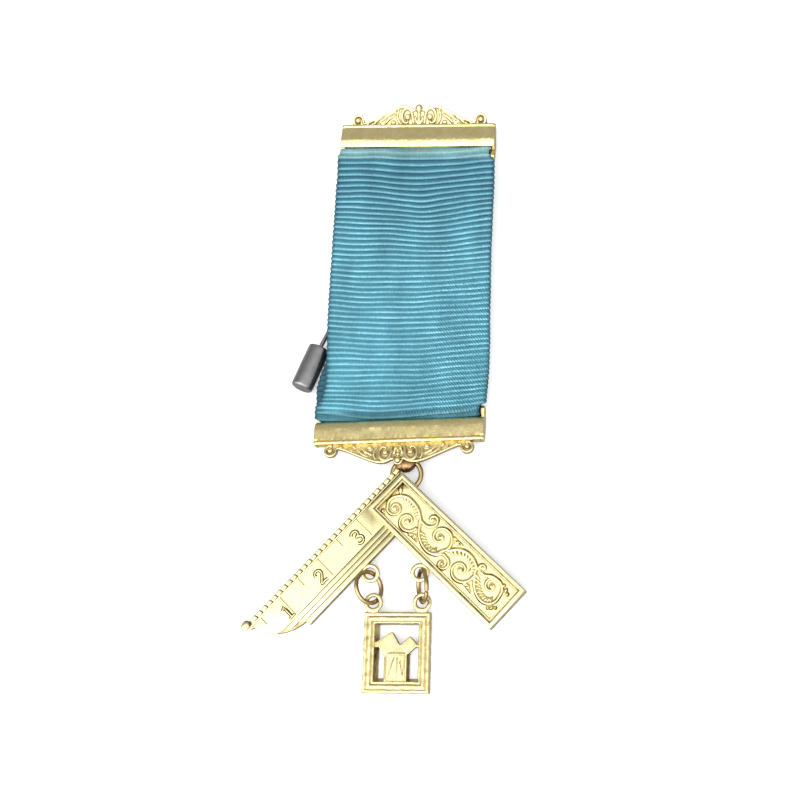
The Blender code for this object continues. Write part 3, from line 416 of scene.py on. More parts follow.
def buildWearAndShadeGroup():  # patchy handling wear, fine scratches, tarnish and painted shade in hollows, and painted shade on faces that turn sideways
    tree, entry, leave = newGroup("wearAndPaintedShade", "ShaderNodeTree", [
        ("Patch Scale", "Float", wearLooks["patchScale"]),
        ("Scratch Scale", "Float", wearLooks["scratchScale"]),
        ("Side Shade Amount", "Float", 0.5), ("Pits", "Float", 0.2),
    ], [(label, "Float") for label in ("Wear", "Grime And Shade", "Side", "Height")])
    surface = addNode(tree, "ShaderNodeTexCoord")
    place = surface["Object"]
    patch = noiseTexture(tree, place, entry["Patch Scale"], 6.0, 0.62)
    fine = noiseTexture(tree, place, entry["Scratch Scale"], 3.0, 0.55)
    scratch = noiseTexture(tree, mapped(tree, place, (1.0, 7.0, 3.0), 0.4), entry["Scratch Scale"], 2.0)
    speckle = spread(tree, fine, 0.3, 0.6, 0.75, 1.1)
    dashes = spread(tree, patch, 0.36, 0.56, 1.15, 0.5)
    pits = spread(tree, fine, 0.36, 0.26, 0.0, 1.0)
    # tarnish and painted shade in the hollows, with pits
    grimeAndShade = added(tree, times(tree, attribute(tree, "hollowShadeAndTarnish"), speckle, dashes),
                 times(tree, pits, entry["Pits"]))
    upright = maths(tree, "ABSOLUTE", addNode(tree, "ShaderNodeSeparateXYZ", {0: surface["Normal"]})[2])
    # painted shade on faces that turn sideways
    side = times(tree, spread(tree, upright, 0.85, 0.25, 0.0, 1.0), entry["Side Shade Amount"], speckle)
    setInputs(tree, leave, {
        "Wear": spread(tree, patch, 0.38, 0.66, 0.0, 1.0),
        "Grime And Shade": maths(tree, "MINIMUM", grimeAndShade, 1.0),
        "Side": maths(tree, "MINIMUM", side, 1.0),
        "Height": added(tree, times(tree, scratch, 0.6), times(tree, patch, 1.6)),
    })
    return tree


# the side colour is painted shade on faces that turn sideways; the darkest colour is tarnish and painted
# shade in the hollows
metalLooks = {
    "giltBrass": {
        "bright": (0.93, 0.80, 0.41), "worn": (0.80, 0.65, 0.29), "side": (0.42, 0.28, 0.10),
        "tarnishShadeColour": (0.15, 0.09, 0.03), "smooth": 0.15, "rough": 0.27, "grain": 0.4, "pits": 0.5,
        "sideShade": 0.15},
    "giltCasting": {
        "bright": (0.90, 0.81, 0.45), "worn": (0.86, 0.75, 0.39), "side": (0.44, 0.32, 0.13),
        "tarnishShadeColour": (0.13, 0.092, 0.03), "smooth": 0.15, "rough": 0.28, "grain": 0.4, "pits": 0.35,
        "sideShade": 0.4},
    "giltCrest": {
        "bright": (0.88, 0.77, 0.44), "worn": (0.82, 0.70, 0.38), "side": (0.36, 0.26, 0.11),
        "tarnishShadeColour": (0.14, 0.09, 0.03), "smooth": 0.18, "rough": 0.32, "grain": 0.45, "pits": 0.4,
        "sideShade": 0.65},
    "giltPlate": {
        "bright": (0.84, 0.75, 0.43), "worn": (0.72, 0.61, 0.31), "side": (0.84, 0.64, 0.35),
        "tarnishShadeColour": (0.13, 0.10, 0.035), "smooth": 0.17, "rough": 0.32, "grain": 0.9, "pits": 0.9,
        "sideShade": 0.45},
    "ringWire": {
        "bright": (0.60, 0.46, 0.23), "worn": (0.42, 0.29, 0.12), "side": (0.20, 0.12, 0.045),
        "tarnishShadeColour": (0.12, 0.07, 0.02), "smooth": 0.16, "rough": 0.30, "grain": 0.3, "pits": 0.5,
        "sideShade": 0.85},
    "bailBrass": {
        "bright": (0.50, 0.32, 0.16), "worn": (0.30, 0.17, 0.08), "side": (0.16, 0.09, 0.035),
        "tarnishShadeColour": (0.10, 0.055, 0.02), "smooth": 0.26, "rough": 0.45, "grain": 0.6, "pits": 0.8,
        "sideShade": 0.8},
    "pinSteel": {
        "bright": (0.36, 0.355, 0.36), "worn": (0.29, 0.285, 0.29), "side": (0.14, 0.14, 0.14),
        "tarnishShadeColour": (0.06, 0.06, 0.06), "smooth": 0.3, "rough": 0.36, "grain": 0.12, "pits": 0.15,
        "sideShade": 0.3},
}


def metalMaterial(name, look, wearShadeGroup):
    material, tree, shader = newMaterial(name)
    wear = addNode(tree, "ShaderNodeGroup", {"Side Shade Amount": look["sideShade"], "Pits": look["pits"]},
                   node_tree=wearShadeGroup)
    colour = mixed(tree, wear["Wear"], look["bright"], look["worn"])
    # painted shade on sideways faces, then tarnish and painted shade in the hollows
    colour = mixed(tree, wear["Side"], colour, look["side"])
    colour = mixed(tree, wear["Grime And Shade"], colour, look["tarnishShadeColour"])
    roughness = spread(tree, wear["Wear"], 0.0, 1.0, look["smooth"], look["rough"])
    relief = addNode(tree, "ShaderNodeBump", {"Height": wear["Height"], "Strength": look["grain"],
                                              "Distance": 0.00005})[0]
    setInputs(tree, shader, {
        "Metallic": 1.0, "Base Color": colour, "Normal": relief,
        "Roughness": added(tree, roughness, times(tree, wear["Grime And Shade"], 0.2)),
    })
    return material


# rib colours: valley and low are painted shade, soft and crest a painted highlight; the light green is
# painted light; the two tones paint shade along the length
silkColours = {
    "valley": (0.010, 0.085, 0.14), "low": (0.074, 0.28, 0.385), "middle": (0.118, 0.385, 0.50),
    "soft": (0.18, 0.49, 0.61), "crest": (0.40, 0.76, 0.86), "paintedLight": (0.30, 0.52, 0.50),
    "upperShadeTone": (0.60, 0.66, 0.68), "lowerShadeTone": (1.0, 1.0, 0.98),
}
silkStops = ((0.0, "valley"), (0.06, "valley"), (0.15, "middle"), (0.23, "crest"), (0.36, "soft"),
             (0.56, "middle"), (0.8, "low"), (0.94, "low"), (1.0, "valley"))  # share of a rib, its colour, with painted shade in the valleys and a painted highlight line


def silkMaterial():  # ribs painted by their phase: painted shade in the dark valley, a thin painted highlight line, a slow fall
    material, tree, shader = newMaterial("ribbonSilk")
    weave = addNode(tree, "ShaderNodeUVMap", uv_map="weave")[0]
    across, along, _ = addNode(tree, "ShaderNodeSeparateXYZ", {0: weave})
    phase = maths(tree, "ARCTAN2", attribute(tree, "ribSine"), attribute(tree, "ribCosine"))
    phase = maths(tree, "FRACT", maths(tree, "DIVIDE", phase, 2 * math.pi))
    # painted shade in each rib's valley and a painted highlight line near its crest
    colour = rampColour(tree, phase, [(position, silkColours[name]) for position, name in silkStops])
    patch = noiseTexture(tree, mapped(tree, weave, (0.14, 0.30, 1.0)), 1.0, 4.0)
    thread = noiseTexture(tree, mapped(tree, weave, (2.6, 1.0, 1.0)), 1.0, 2.0)
    # painted shade of soft folds along the ribbon
    foldShade = noiseTexture(tree, mapped(tree, weave, (0.17, 0.035, 1.0)), 1.0, 2.0)
    calm = times(tree, spread(tree, patch, 0.35, 0.68, 0.5, 0.0),
                 spread(tree, along, 34.0, 58.0, 1.0, 0.2))
    calm = added(tree, calm, spread(tree, along, 8.0, 44.0, 0.22, 0.0))
    slant = added(tree, times(tree, across, 10.0), times(tree, along, 7.4),
                  times(tree, added(tree, patch, thread), 8.0))
    dots = times(tree, maths(tree, "SINE", slant), spread(tree, across, -6.0, 10.0, 0.0, 0.36),
                 spread(tree, along, 30.0, 54.0, 1.0, 0.2))
    # painted shade along the length, darker and bluer towards the upper bar
    lengthShade = mixed(tree, spread(tree, along, 36.0, 60.0, 0.0, 1.0), silkColours["lowerShadeTone"],
                 silkColours["upperShadeTone"])
    # painted shade at the ribbon's sides, on its back layer and near the lower bar
    edge = attribute(tree, "paintedEdgeShade")
    colour = mixed(tree, calm, colour, silkColours["middle"])
    colour = mixed(tree, 1.0, colour, lengthShade, "MULTIPLY")
    # painted light near the upper bar
    colour = mixed(tree, times(tree, attribute(tree, "paintedLight"), 0.6), colour, silkColours["paintedLight"])
    colour = mixed(tree, spread(tree, edge, 0.76, 0.86, 0.0, 0.85), colour, silkColours["low"])
    shade = times(tree, spread(tree, thread, 0.3, 0.7, 0.86, 1.14),
                  spread(tree, edge, 0.1, 1.0, 1.0, 0.42), spread(tree, patch, 0.3, 0.7, 0.86, 1.12),
                  added(tree, dots, 1.0), spread(tree, foldShade, 0.32, 0.68, 0.86, 1.14))
    relief = addNode(tree, "ShaderNodeBump", {"Height": thread, "Strength": 0.4, "Distance": 0.00008})[0]
    setInputs(tree, shader, {
        "Base Color": scaled(tree, colour, shade), "Roughness": spread(tree, thread, 0.3, 0.7, 0.42, 0.58),
        "Specular IOR Level": 0.22, "Sheen Weight": 0.06, "Sheen Roughness": 0.4,
        "Sheen Tint": (0.6, 0.9, 1.0, 1.0), "Normal": relief,
    })
    return material


wearShadeGroup = buildWearAndShadeGroup()
metals = {name: metalMaterial(name, look, wearShadeGroup) for name, look in metalLooks.items()}
silkLook = silkMaterial()
print("materials made")


# The two cast bars: x along the bar, y towards the crest, z up, the rod's axis at zero

barSizes = {
    "width": 37.5, "faceDepth": 4.42, "faceRound": 1.95, "roundAngle": 43.0, "overhang": 0.58,
    "faceHeight": 2.75, "rodToFace": 2.0, "apron": 2.4, "lip": 0.75, "lipRise": 0.26, "sheet": 0.9,
    "earThickness": 1.0, "earReach": 1.2, "earDrop": 1.65, "rodRadius": 0.4, "rodGap": 0.2, "rodReach": 18.6,
    "wobble": 0.045, "steps": 220, "crestRise": 4.72, "crestShade": 0.25, "crestHalfWidth": 16.4,
    "crestSetBack": 1.0, "crestThickness": 1.1, "crestLean": 29.0, "voxel": 0.105,
}
lowerBarSizes = {**barSizes, "overhang": 0.1, "faceDepth": 4.4, "lip": 0.9, "lipRise": 0.25, "crestRise": 4.8,
                 "crestLean": 3.0, "roundAngle": 52.0, "crestShade": 0.65}
crestOutline = (
    (0.0, 1.0), (0.02, 0.985), (0.042, 0.935), (0.056, 0.86), (0.068, 0.785), (0.09, 0.765), (0.125, 0.84),
    (0.175, 0.9), (0.235, 0.915), (0.3, 0.88), (0.38, 0.79), (0.465, 0.67), (0.575, 0.51), (0.68, 0.35),
    (0.77, 0.23), (0.84, 0.18),
)
crestWires = (
    (((0.082, 0.1), (0.094, 0.4), (0.118, 0.66), (0.17, 0.78), (0.226, 0.7), (0.252, 0.48), (0.24, 0.26),
      (0.2, 0.14), (0.155, 0.2)), (0.26, 0.36, 0.26), 0.05),
    (((0.30, 0.72), (0.325, 0.5), (0.31, 0.28), (0.27, 0.08)), (0.2, 0.3, 0.18), 0.0),
    (((0.35, 0.68), (0.46, 0.5), (0.56, 0.26)), (0.2, 0.32, 0.16), 0.0),
    (((0.36, 0.5), (0.44, 0.36), (0.51, 0.14)), (0.2, 0.32, 0.16), 0.0),
    (((0.56, 0.42), (0.63, 0.27), (0.68, 0.1)), (0.2, 0.32, 0.16), 0.0),
)  # shares of the half width and of the rise, thickness at start, middle and end, lift
crestBeads = (
    (0.168, 0.40, 0.12, (0.62, 0.68, 0.6)), (0.385, 0.16, 0.0, (0.62, 0.5, 0.42)),
    (0.60, 0.1, 0.0, (0.42, 0.34, 0.34)), (0.775, 0.1, 0.0, (0.36, 0.3, 0.34)),
)  # share of the half width and of the rise, lift, radii


def barLevels(sizes):  # where the crest stands, the level of its front and of the casting behind it
    foot = sizes["rodToFace"] + sizes["faceDepth"] + sizes["lip"]
    front = sizes["faceHeight"] - sizes["crestSetBack"]
    return foot, front, front - sizes["crestThickness"] - 0.1


def barFront(sizes, steps=12):  # y and z of the hem, the overhang, the round lower edge, the face and the lip
    edge = sizes["rodToFace"] - sizes["overhang"]
    steep = math.radians(sizes["roundAngle"])
    radius = sizes["faceRound"] / math.sin(steep)
    drop = radius * (1 - math.cos(steep))
    line = [(sizes["rodToFace"], sizes["faceHeight"] - sizes["apron"] + 0.15),
            (sizes["rodToFace"] + 0.05, sizes["faceHeight"] - drop - 0.55),
            (edge + 0.12, sizes["faceHeight"] - drop - 0.36), (edge, sizes["faceHeight"] - drop - 0.2)]
    for step in range(steps + 1):
        angle = steep * (1 - step / steps)
        line.append((edge + radius * (math.sin(steep) - math.sin(angle)),
                     sizes["faceHeight"] - radius * (1 - math.cos(angle))))
    lipStart = sizes["rodToFace"] + sizes["faceDepth"]
    for step in range(1, 5):
        line.append((line[-1][0] + (lipStart - line[-1][0]) * step / 5, sizes["faceHeight"]))
    line.append((lipStart - 0.08, sizes["faceHeight"] - 0.07))
    for y, z in arcPoints((0.0, 0.0), 1.0, 170, 0, 7):
        line.append((lipStart + (1 + y) * sizes["lip"] / 2, sizes["faceHeight"] + z * sizes["lipRise"]))
    return line


def barShell(sizes, seed):
    foot, _, base = barLevels(sizes)
    inner = sizes["faceHeight"] - sizes["sheet"]
    hem = sizes["faceHeight"] - sizes["apron"]
    wall = sizes["rodToFace"] + sizes["sheet"]
    lipStart = sizes["rodToFace"] + sizes["faceDepth"]
    outline = [(wall - 0.2, hem - 0.02), (sizes["rodToFace"] + 0.1, hem)]
    outline += barFront(sizes) + [(foot, base + 0.2), (foot - 0.2, base), (foot - sizes["sheet"], base)]
    outline += [(foot - sizes["sheet"], inner), (wall + 1.7, inner), (wall + 0.7, inner - 0.5)]
    outline += [(wall, inner - 1.2)]
    half = (sizes["width"] - sizes["earThickness"]) / 2
    rings = []
    for step in range(sizes["steps"] + 1):
        x = -half + 2 * half * step / sizes["steps"]
        ring = []
        for y, z in outline:
            dents = [((x * 0.35, y * 0.6 + seed, z * 0.6), 1.0), ((x * 1.7, y * 1.5, seed), 0.8),
                     ((x * 5.2, y * 3.4, seed), 0.8)]
            if y > lipStart and z > sizes["faceHeight"] - 0.2:
                dents.append(((x * 1.3, seed, 0.0), 1.6))
            dent = sum(noise.noise(Vector(spot)) * sizes["wobble"] * share for spot, share in dents)
            ring.append((x, y, z + dent))
        rings.append(ring)
    return ringedMesh(rings, closed=False)


def barEars(sizes):
    foot, _, base = barLevels(sizes)
    reach, drop, face = sizes["earReach"], sizes["earDrop"], sizes["faceHeight"]
    outline = [(reach * 0.45 - reach, -drop), (-reach, reach * 0.45 - drop), (-reach, 0.3),
               (-reach * 0.8, 0.75), (-reach * 0.35, 1.05)]
    outline += barFront(sizes, 8)[:-7]
    outline += [(foot - 0.1, face + 0.08), (foot, face - 0.1), (foot, base)]
    outline += [(sizes["rodToFace"] + reach, -drop)]
    stand = Matrix(((0, 0, 1, 0), (1, 0, 0, 0), (0, 1, 0, 0), (0, 0, 0, 1)))
    half = sizes["earThickness"] / 2
    hole = strandMesh([([(-9, 0, 0), (9, 0, 0)], sizes["rodRadius"] + sizes["rodGap"])], 20)
    meshes = []
    for side in (-1, 1):
        ear = cutMesh(movedMesh(slabMesh(outline, -half, half, 0.16, 3), stand), hole.copy())
        meshes.append(movedMesh(ear, Matrix.Translation((side * (sizes["width"] / 2 - half), 0, 0))))
    return meshes


def crestMesh(sizes):
    foot, front, _ = barLevels(sizes)
    strands = []

    def spot(across, up):
        return (across * sizes["crestHalfWidth"], foot + up * sizes["crestRise"])

    def wire(points, radii, lift=0.0, side=1, steps=6):
        line = smoothLine([spot(side * across, up) for across, up in points], steps)
        strands.append((atHeight(line, front + lift), tapered(len(line), *radii)))

    half = [tuple(point) for point in smoothLine([spot(*row) for row in crestOutline], 4)]
    outline = half + [spot(0.9, 0.14), spot(0.97, -0.1)]
    outline += [(-x, y) for x, y in reversed(outline[1:])]
    meshes = [slabMesh(outline, front - sizes["crestThickness"], front - 0.1, 0.1, 1)]
    for side in (-1, 1):
        rim = [(side * x, y - 0.26) for x, y in half[14:]]
        strands.append((atHeight(rim, front), tapered(len(rim), 0.36, 0.34, 0.24)))
        for points, radii, lift in crestWires:
            wire(points, radii, lift, side)
        for across, up, lift, radii in crestBeads:
            meshes.append(ballMesh((*spot(side * across, up), front + lift), radii))
        curl = spot(side * 0.918, 0.25)
        disc = turnedMesh([(0, -0.5), (1.42, -0.5), (1.5, -0.4), (1.5, 0.3), (1.42, 0.38), (0, 0.38)], 40)
        meshes.append(movedMesh(disc, Matrix.Translation((*curl, front - 0.5))))
        hook = voluteLine(curl, (curl[0] - side * 1.24, curl[1] - 0.3), -side * 0.85, 1.05)
        strands.append((atHeight(hook, front + 0.04), tapered(len(hook), 0.24, 0.34, 0.3)))
        meshes.append(ballMesh((*curl, front + 0.1), (0.6, 0.6, 0.62)))
        wire(((0.012, 0.06), (0.036, 0.2), (0.056, 0.44)), (0.16, 0.3, 0.14), 0.0, side, 5)
    wire(((0, 0.05), (0, 0.3), (0, 0.5)), (0.22, 0.34, 0.2), 0.05, 1, 5)
    meshes.append(ballMesh((*spot(0, 0.76), front + 0.08), (0.66, 0.86, 0.62)))
    meshes.append(ballMesh((*spot(0, 0.52), front + 0.03), (0.5, 0.24, 0.42)))
    mesh = castMesh(meshes + [strandMesh(strands)], sizes["voxel"], 2)
    slope = math.tan(math.radians(sizes["crestLean"]))
    for vertex in mesh.vertices:
        vertex.co.z += slope * (vertex.co.y - foot)
    # painted shade where it meets the lip
    markHollows(mesh, 4, 30.0, lambda x, y, z: sizes["crestShade"] * np.clip(1 - (y - foot) / 1.1, 0.0, 1.0))
    return mesh


def makeBars():
    for side, place, seed, sizes in (("upper", upperBarPlace, 3.0, barSizes),
                                     ("lower", lowerBarPlace, 11.0, lowerBarSizes)):
        name, node = side + "BarCasting", side + "_bar"
        body = joined([barShell(sizes, seed)] + barEars(sizes))
        finishedPiece(name, body, place, metals["giltBrass"], node)
        finishedPiece(name + "Crest", crestMesh(sizes), place, metals["giltCrest"], node, 180.0)
        end, radius = sizes["rodReach"], sizes["rodRadius"]
        line = [(x, 0, 0) for x in (-end, 0.1 - end, end - 0.1, end)]
        rod = strandMesh([(line, [radius - 0.1, radius, radius, radius - 0.1])], 20)
        finishedPiece(side + "RodWire", rod, place, metals["ringWire"], side + "_rod")


makeBars()
print("bars cast")


# The suspension ring, and the sleeve that holds it under the lower crest

hangerSizes = {
    "ringRadius": 3.15, "ringWire": 0.52, "joint": 2.0, "jointTurn": 200.0, "sleeve": 1.5, "bow": 2.0,
    "from": 48.0, "to": 150.0, "collars": (76, 99, 122), "collarRadius": 1.41, "collarWire": (0.14, 0.16),
    "bore": 0.72, "lugLow": (-1.0, 2.4), "lugHigh": (1.0, 4.4), "voxel": 0.1,
}


def ringMesh(radius, wire, joint, turn):  # a bent wire whose ends meet in a fine slit
    line = arcPoints((0, 0), radius, turn + joint, turn + 360 - joint, 96)
    radii = [wire * 0.86] + [wire] * (len(line) - 2) + [wire * 0.86]
    return strandMesh([(atHeight(line, 0.0), radii)], 16)


def makeHanger():
    sizes = hangerSizes
    ring = ringMesh(sizes["ringRadius"], sizes["ringWire"], sizes["joint"], sizes["jointTurn"])
    finishedPiece("suspensionRing", ring, ringPlace, metals["ringWire"], "suspension_ring")
    arc = arcPoints((0, 0), sizes["bow"], sizes["from"], sizes["to"], 22)
    radii = [sizes["sleeve"] * (1 - 0.16 * abs(index - 11) ** 2 / 121) for index in range(23)]
    radii[0] = radii[-1] = sizes["sleeve"] * 0.66
    meshes = [strandMesh([(atHeight(arc, 0.0), radii)], 24)]
    meshes.append(slabMesh(rectangle(sizes["lugLow"], sizes["lugHigh"]), -0.6, 0.5, 0.3, 3))
    out, up = sizes["collarWire"]
    loop = [math.radians(step * 45) for step in range(8)]
    profile = [(sizes["collarRadius"] + out * math.cos(angle), up * math.sin(angle)) for angle in loop]
    for angle in sizes["collars"]:
        spot = Vector((math.cos(math.radians(angle)), math.sin(math.radians(angle)), 0)) * sizes["bow"]
        spin = Matrix.Rotation(math.radians(angle + 90), 4, "Z") @ Matrix.Rotation(math.radians(90), 4, "Y")
        meshes.append(movedMesh(turnedMesh(profile, 28), Matrix.Translation(spot) @ spin))
    bore = atHeight(arcPoints((0, 0), sizes["ringRadius"], 40, 155, 40), 0.0)
    cast = cutMesh(castMesh(meshes, sizes["voxel"], 2), strandMesh([(bore, sizes["bore"])], 16))
    finishedPiece("ringSleeve", cast, ringPlace, metals["bailBrass"], "lower_bar", 50.0)


makeHanger()


# The ribbon: one band round both rods, its ribs made by Geometry Nodes

ribbonSizes = {
    "wall": 0.42, "loop": 1.15, "frontLoop": 1.85, "frontReach": 1.5, "flat": 0.65, "width": 38.0,
    "lift": 2.2, "liftPeak": 0.31, "step": 0.17, "columns": 44, "lowerPitch": 1.17, "upperPitch": 1.47,
    "ribHeight": 0.2, "wander": 0.3, "wave": 0.2, "edgeGap": 0.1, "rightRise": 1.3, "leftRise": 0.45,
    "foldRise": 0.9, "sag": 0.7, "cornerBend": 1.4, "seed": 7.0,
    "shadowTo": 0.008, "paintedLightFrom": 0.967, "paintedLightOver": 0.014, "underFrom": 16.95, "underOver": 0.25,
    "behindFrom": 15.5, "behindMark": 0.86,
}
ribbonEdges = (
    (0.0, 1.0, 1.01, 1.03, 0.97), (0.022, 0.985, 1.01, 1.03, 0.97), (0.05, 0.935, 1.01, 1.03, 0.97),
    (0.1, 0.905, 1.015, 1.03, 0.96), (0.15, 0.9, 1.02, 0.985, 0.96), (0.2, 0.91, 1.02, 0.925, 0.96),
    (0.25, 0.918, 1.02, 0.885, 0.96), (0.33, 0.935, 1.01, 0.9, 0.97), (0.6, 0.965, 0.995, 0.945, 0.98),
    (0.86, 1.0, 1.0, 0.98, 0.98), (1.0, 1.01, 1.0, 0.98, 0.98),
)  # share along, then front left, front right, back left, back right as shares of half the width
ribbonTucks = {
    "front": ((0.006, 0.026), (0.012, 0.04)), "backLeft": ((0.02, 0.05), (0.02, 0.05)),
    "backRight": ((0.02, 0.06), (0.02, 0.10)),
}  # at the lower and the upper rod, the shares between which it widens from the ears to its full width


def ribTree():
    tree, entry, leave = newGroup("ribbonRibs", "GeometryNodeTree", [
        ("Geometry", "Geometry", None), ("Rib Height", "Float", 0.15), ("Wander", "Float", 0.4),
        ("Wave", "Float", 0.1), ("Seed", "Float", 7.0), ("Cloth", "Material", None),
    ], [("Geometry", "Geometry")])

    def named(label, kind="FLOAT"):
        return addNode(tree, "GeometryNodeInputNamedAttribute", {"Name": label}, data_type=kind)[0]

    def noiseAt(acrossScale, alongScale, level, detail):
        spot = {0: times(tree, named("across"), acrossScale), 1: times(tree, named("turns"), alongScale),
                2: level}
        return noiseTexture(tree, addNode(tree, "ShaderNodeCombineXYZ", spot)[0], 1.0, detail)

    drift = maths(tree, "SUBTRACT", noiseAt(0.055, 0.09, entry["Seed"], 1.5), 0.5)
    drift = times(tree, drift, times(tree, entry["Wander"], 5.0))
    phase = maths(tree, "FRACT", added(tree, named("turns"), drift))
    slanted = times(tree, maths(tree, "POWER", phase, 0.75), 2 * math.pi)
    rib = times(tree, maths(tree, "COSINE", slanted), -1.0,
                spread(tree, noiseAt(0.16, 0.6, 4.0, 3.0), 0.3, 0.7, 0.6, 1.2))
    swell = maths(tree, "SUBTRACT", noiseAt(0.06, 0.2, 9.0, 1.0), 0.5)
    swell = times(tree, swell, times(tree, entry["Wave"], 2.0), named("skin"))
    amount = added(tree, times(tree, rib, entry["Rib Height"]), swell)
    offset = scaled(tree, named("push", "FLOAT_VECTOR"), amount)
    geometry = addNode(tree, "GeometryNodeSetPosition", {"Geometry": entry["Geometry"], "Offset": offset})[0]
    circle = times(tree, phase, 2 * math.pi)
    for label, operation in (("ribSine", "SINE"), ("ribCosine", "COSINE")):
        geometry = addNode(tree, "GeometryNodeStoreNamedAttribute", {
            "Geometry": geometry, "Name": label, "Value": maths(tree, operation, circle),
        }, data_type="FLOAT", domain="POINT")[0]
    dressTree(tree, leave, geometry, entry["Cloth"])
    return tree


def ribbonHalf(share, column, front, angle):  # half the width on this side, here along the ribbon
    slot = (1 if front else 3) + (1 if column > 0 else 0)
    index = max(row for row in range(len(ribbonEdges) - 1) if ribbonEdges[row][0] <= share)
    low, high = ribbonEdges[index], ribbonEdges[index + 1]
    mix = (share - low[0]) / (high[0] - low[0])
    full = ribbonSizes["width"] / 2 * (low[slot] + (high[slot] - low[slot]) * mix)
    narrow = barSizes["width"] / 2 - barSizes["earThickness"] - ribbonSizes["edgeGap"]
    side = "front" if front else "backLeft" if column < 0 else "backRight"
    start, end = ribbonTucks[side][0 if share < 0.5 else 1]
    climb = angle if angle > -91 else -180 - angle
    blend = clamp((min(share, 1 - share) - start) / (end - start))
    if front and column < 0:  # the front's left side lies over the ears
        blend = clamp((climb - 40) / 30)
        blend *= 1 - 0.45 * clamp((share - 0.965) / 0.035) ** 2
    elif abs(climb) < 89:
        blend = 0.0
    return narrow + (full - narrow) * blend * blend * (3 - 2 * blend)


def ribbonSpot(share, ahead, across, height, front):
    low, high = Vector(places["lowerRod"]), Vector(places["upperRod"])
    turn = math.radians((places["lowerTurn"] - 180) * (1 - share) + places["upperTurn"] * share)
    middle = low.lerp(high, share)
    x = middle.x + across * math.cos(turn) - ahead * math.sin(turn)
    y = middle.y + across * math.sin(turn) + ahead * math.cos(turn)
    peak = ribbonSizes["liftPeak"]
    rise = 0.0
    if 0.0 < share < 1.0:
        away = (share - peak) / (1 - peak) if share > peak else (peak - share) / peak
        lean = clamp(0.3 - across / ribbonSizes["width"] * 1.4)
        rise = ribbonSizes["lift"] * math.cos(away * math.pi / 2) * lean
        if front:
            left = clamp(-across / 12 - 0.5)
            rise += ribbonSizes["foldRise"] * left * math.exp(-((share - 0.03) / 0.025) ** 2)
    return Vector((x, y, middle.z + height + rise))


def ribPitch(share):
    return ribbonSizes["lowerPitch"] + (ribbonSizes["upperPitch"] - ribbonSizes["lowerPitch"]) * share


def ribBend(share, across):  # how far the rib lines run above a straight weft, in millimetres
    side = across / (ribbonSizes["width"] / 2)
    bend = ribbonSizes["rightRise"] * max(side - 0.1, 0.0) ** 1.4
    bend += ribbonSizes["leftRise"] * max(-side - 0.1, 0.0) ** 1.4
    near = math.exp(-((side - 0.15) / 0.4) ** 2) * math.exp(-((share - 0.82) / 0.16) ** 2)
    bend -= ribbonSizes["sag"] * near
    bend += ribbonSizes["cornerBend"] * max(-side - 0.35, 0.0) * math.exp(-share / 0.03)
    return bend


def ribbonStations():  # share along, past the rod, above it, way out, distance walked, ribs passed
    sizes = ribbonSizes
    run = (Vector(places["upperRod"]) - Vector(places["lowerRod"])).length
    count = round(run / sizes["step"])
    bend, roundRod = 18, math.pi * sizes["loop"]
    stations = []
    travel = turns = 0.0
    for layer in (1, -1):
        reach = sizes["frontLoop"] if layer > 0 else sizes["loop"]
        for step in range(count + 1):
            share = step / count if layer > 0 else 1 - step / count
            pinch = max(0.0, 1 - min(share, 1 - share) / 0.12)
            gap = sizes["flat"] + (reach - sizes["flat"]) * pinch * pinch * (3 - 2 * pinch)
            stations.append((share, 0.0, layer * gap, 90 * layer, travel, turns))
            if step < count:
                travel += run / count
                turns += run / count / ribPitch(share)
        rod = 1.0 if layer > 0 else 0.0
        for step in range(1, bend):
            angle = 90 * layer - 180 * step / bend
            rise, ahead = math.sin(math.radians(angle)), math.cos(math.radians(angle))
            if rise > 0:  # squarer in front, close under the bar
                rise = sizes["frontLoop"] * rise ** 0.6
                ahead = math.copysign(sizes["frontReach"] * abs(ahead) ** 0.6, ahead)
            else:
                rise, ahead = sizes["loop"] * rise, sizes["frontReach"] * ahead
            passed = roundRod * step / bend
            if layer > 0:
                start = (travel, turns)
            else:  # the lower loop counts backwards from the start, so no seam shows
                passed, start = passed - roundRod, (0.0, 0.0)
            stations.append((rod, ahead, rise, angle, start[0] + passed, start[1] + passed / ribPitch(rod)))
        travel += roundRod
        turns += roundRod / sizes["upperPitch"]
    return stations, travel


